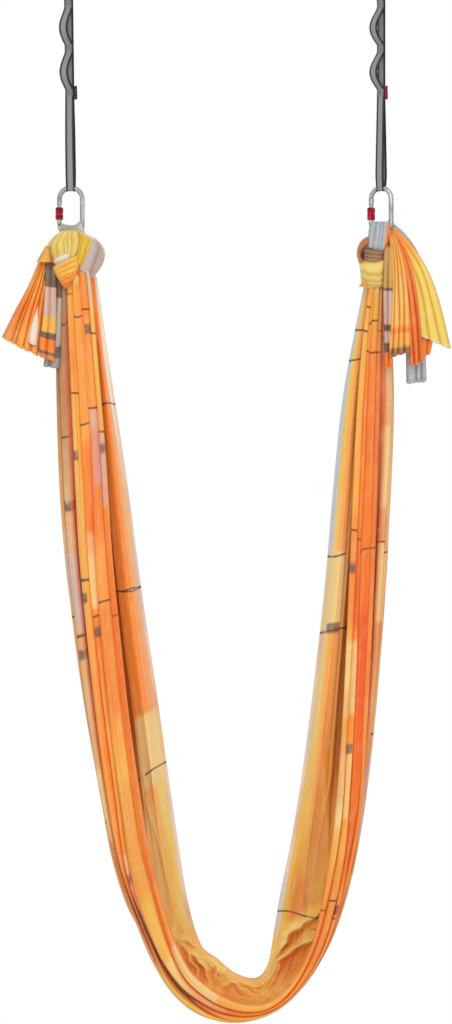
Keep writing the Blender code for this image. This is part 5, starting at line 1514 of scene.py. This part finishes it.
def make_collar(side, print_name):
    """Cloth gathered over the carabiner's bottom bow, in fine pleats, its ends drawn up the sides."""
    turned_to = Matrix.Rotation(CARABINER_YAW[side], 4, "Z")
    place = Matrix.Translation((BOW_X[side], 0, CARABINER_Z)) @ turned_to
    share = np.linspace(-1, 1, 190)
    angle = np.linspace(-math.pi / 2, math.pi / 2, 49)[:, None]
    away = np.abs(share)
    fine = 0.75 * MM * np.sin(share * 52 + 2 * np.sin(share * 5) + 2.5 * angle)
    fine = fine + 0.4 * MM * np.sin(share * 91 + 1 - 3 * angle)
    turn = np.abs(np.sin(angle))
    # The gate needs room on its side, so the cloth keeps lower and narrower there
    gate_side = share < 0
    half = (np.where(gate_side, *COLLAR_HALF) + np.where(gate_side, *COLLAR_GAIN) * turn) * MM
    dip = np.where(gate_side, *COLLAR_DIP) * away ** 2.2 * MM * np.cos(angle)
    drawn_up = np.where(gate_side, *COLLAR_RISE) * MM * away ** 3 * np.cos(angle)
    crest = 1 / np.hypot(np.cos(angle) / COLLAR_BELOW, np.sin(angle) / COLLAR_FRONT)
    inner = BAR_RADIUS + 1.0 * MM
    edge = np.clip((1 - away) / 0.10, 0, 1)
    radius = inner + (crest + dip + fine - inner) * np.sin(edge * math.pi / 2) ** 0.5
    lowest = -STRAIGHT_HALF - BOW_RADIUS
    z = lowest + radius * np.cos(angle) + drawn_up
    grid = np.stack((half * share + 0 * radius, radius * np.sin(angle), z), -1)
    skirts = grid[:1].copy(), grid[-1:].copy()
    for skirt in skirts:
        skirt[..., 2] -= COLLAR_SKIRT
        skirt[..., 1] *= 0.92
    grid = np.concatenate((skirts[0], grid, skirts[1]))
    points = np.array([place @ Vector(p) for p in grid.reshape(-1, 3)]).reshape(grid.shape)
    rests, standin = f"{side}_carabiner_body", f"{side}_carabiner_wrap"
    loose_sheet(f"{side}_collar", points, arc_uv(grid), print_name, standin=standin)


def make_fan(side, name, print_name, depth, folds, swing, seed, hem=2.0, rolled=True, standin=None):
    """A loose sheet of the tail, pinched in the knot and hanging in a few soft pleats.

    Depth at its top and bottom and the swing of its pleats are in millimetres.
    """
    px, py, s, t = pixel_grid(f"{side}_{name}", 60, folds * 18 + 1)
    crest = pleats(seed, folds, s + 0 * t, t)
    ripple = 0.10 * waves(seed + 7, 3, 2.0, 5.0)(s + 0.3 * t)
    grow = PINCHED + (1 - PINCHED) * np.sin(np.clip(t / 0.75, 0, 1) * math.pi / 2)
    py = py + hem * (crest - 0.5) * np.clip((t - 0.4) / 0.6, 0, 1) ** 2
    x, z = from_photo(px, py)
    near, far = (value * MM for value in depth)
    y = near + (far - near) * np.sin(t * math.pi / 2) - swing * MM * grow * (crest - 0.5 + ripple)
    y = y + SIDE_BACK * (1 - edge_share(s, 0.07)) ** 2
    y = y + TOP_BACK * (1 - np.clip(t / 0.10, 0, 1)) ** 2
    grid = np.stack((x + 0 * y, y, z + 0 * y), -1)
    # Painted shade in the pleats' valleys, stronger where the tail spreads out
    valley = np.clip(0.95 - 1.2 * crest, 0, 1) * (0.5 + 0.5 * grow)
    if rolled:
        # Cut tricot curls up to its face along the hem
        turn = np.linspace(0, 1.5 * math.pi, 12)[1:, None]
        size = HEM_RADIUS * (0.8 + 0.35 * waves(seed + 9, 3, 1.0, 3.0)(s[0]))[None]
        curl = np.repeat(grid[-1:], len(turn), 0)
        curl[..., 1] -= size * (1 - np.cos(turn))
        curl[..., 2] -= size * np.sin(turn)
        grid = np.concatenate((grid, curl))
        # The curled hem gets half the painted shade of the last row
        valley = np.concatenate((valley, 0.5 * np.repeat(valley[-1:], len(turn), 0)))
    title, rests, uv = f"{side}_tail_{name}", f"{side}_knot", arc_uv(grid)
    loose_sheet(title, grid, uv, print_name, valley, thick=True, standin=standin)


def make_round_lobe():
    """The loop of cloth that bulges out of the left knot, closed round its outer side."""
    px, py, s, t = pixel_grid("left_loop", 56, 96)
    way = np.pi * s
    out = np.sin(way)
    px = px[:, :1] + (px[:, -1:] - px[:, :1]) * out
    py = py[:, :1] + (py[:, -1:] - py[:, :1]) * out
    x, z = from_photo(px, py)
    crest = pleats(13, 5, s + 0 * t, t)
    _, centre_y, _, half_y = knot_section("left", z)
    full = 0.62 + 0.38 * np.sin(math.pi * np.clip(0.10 + 0.72 * t, 0, 1))
    close_top = np.sin(np.clip(t / 0.16, 0, 1) * math.pi / 2) ** 0.5
    close_low = np.where(s > 0.5, np.clip((1 - t) / 0.2, 0, 1) ** 0.5, 1)
    y = centre_y - (half_y + 3 * MM + 1.8 * MM * crest) * full * close_top * close_low * np.cos(way)
    x = x + 1.2 * MM * (crest - 0.7) * out
    points = np.stack((x, y, z), -1)
    # Painted shade in the pleats' valleys
    valley = np.clip(0.85 - crest, 0, 1)
    loose_sheet("left_knot_loop", points, arc_uv(points), "lilac", valley)


def make_pointed_lobe():
    """The folded lobe that hangs pointed in front of the left strand."""
    px, py, s, t = pixel_grid("left_point", 60, 90)
    x, z = from_photo(px, py)
    crest = pleats(21, 6, np.clip(t * 0.95 + 0.05 * s, 0, 1), s)
    crown = np.sin(math.pi * s) ** 0.5 * np.clip((1 - t) * 5, 0, 1) ** 0.5
    front = on_knot("left", x, np.maximum(z, KNOT_BOTTOM), 5 * MM)
    front = np.minimum(front, -0.47 * KNOT_DEPTH)
    y = front - 6.5 * MM * crown - 4.0 * MM * (crest - 0.6) * crown + 6 * MM * (1 - crown)
    points = np.stack((x, y, z), -1)
    # Painted shade in the pleats' valleys, fading out at the lobe's sides and tip
    valley = np.clip(0.85 - crest, 0, 1) * crown
    title, standin, uv = "left_knot_point", "left_knot_lobe", arc_uv(points)
    loose_sheet(title, points, uv, "point", valley, thick=True, standin=standin)


for side in SIDES:
    make_knot_body(side, "warm")
make_collar("left", "beige")
make_collar("right", "grey")

make_round_lobe()
make_wrap("left", "band", "bright", lift=12.0, folds=3, pleat=3.0, seed=12, rim=0.14, spare=16 * MM)
make_wrap("left", "bulge", "yellow", lift=9.5, folds=6, pleat=2.2, seed=11, rim=0.16)
make_wrap("left", "strip", "cream", lift=12.0, folds=2, pleat=1.2, seed=14, rim=0.2)
make_pointed_lobe()

# Left tail, back to front
make_fan("left", "fan", "fan", (-22, -46), folds=5, swing=9, seed=31, standin="left_tail")
make_fan("left", "back", "back", (-26, -38), folds=2, swing=5, seed=32, rolled=False)
make_fan("left", "stripe", "stripe", (-36, -58), folds=2, swing=6, seed=33)
make_fan("left", "ribbon", "cream", (18, -51), folds=1, swing=4, seed=34)
make_fan("left", "flap", "folds", (-34, -54), folds=1, swing=4, seed=35, hem=0.5, rolled=False)

# The dark sheet inside the right loop is painted shade of the loop's hollow
make_wrap("right", "inside", "dark", lift=3.0, folds=2, pleat=1.0, seed=46)
make_wrap("right", "brown", "brown", lift=5.5, folds=3, pleat=1.4, seed=42, rim=0.16)
make_wrap("right", "turn", "yellow", lift=9.5, folds=3, pleat=3.6, seed=43, rim=0.18, spare=8 * MM)
make_wrap("right", "loop", "rust", lift=9.5, folds=1, pleat=1.0, seed=44, rim=0.28, spare=12 * MM)
make_wrap("right", "edge", "warm", lift=7.0, folds=1, pleat=0.6, seed=45, rim=0.30)
make_wrap("right", "band", "grey", lift=9.0, folds=4, pleat=1.8, seed=41, rim=0.14)
make_fan("right", "tuft", "folds", (-40, -46), folds=2, swing=2, seed=47, hem=1.0, rolled=False)

# Right tail, back to front
make_fan("right", "end", "grey", (-18, -34), folds=3, swing=5, seed=51)
make_fan("right", "under", "warm", (-16, -38), folds=2, swing=6, seed=56, rolled=False)
make_fan("right", "grey_edge", "grey", (-10, -30), folds=1, swing=4, seed=57, rolled=False)
make_fan(
    "right", "sheet", "sheet", (-20, -50), folds=3, swing=4.5, seed=52, rolled=False, standin="right_tail"
)
make_fan("right", "inner", "red", (-26, -58), folds=3, swing=8, seed=58)
make_fan("right", "folds", "folds", (-30, -62), folds=4, swing=7, seed=61)
make_fan("right", "stripe", "tan", (-32, -60), folds=2, swing=6, seed=54)
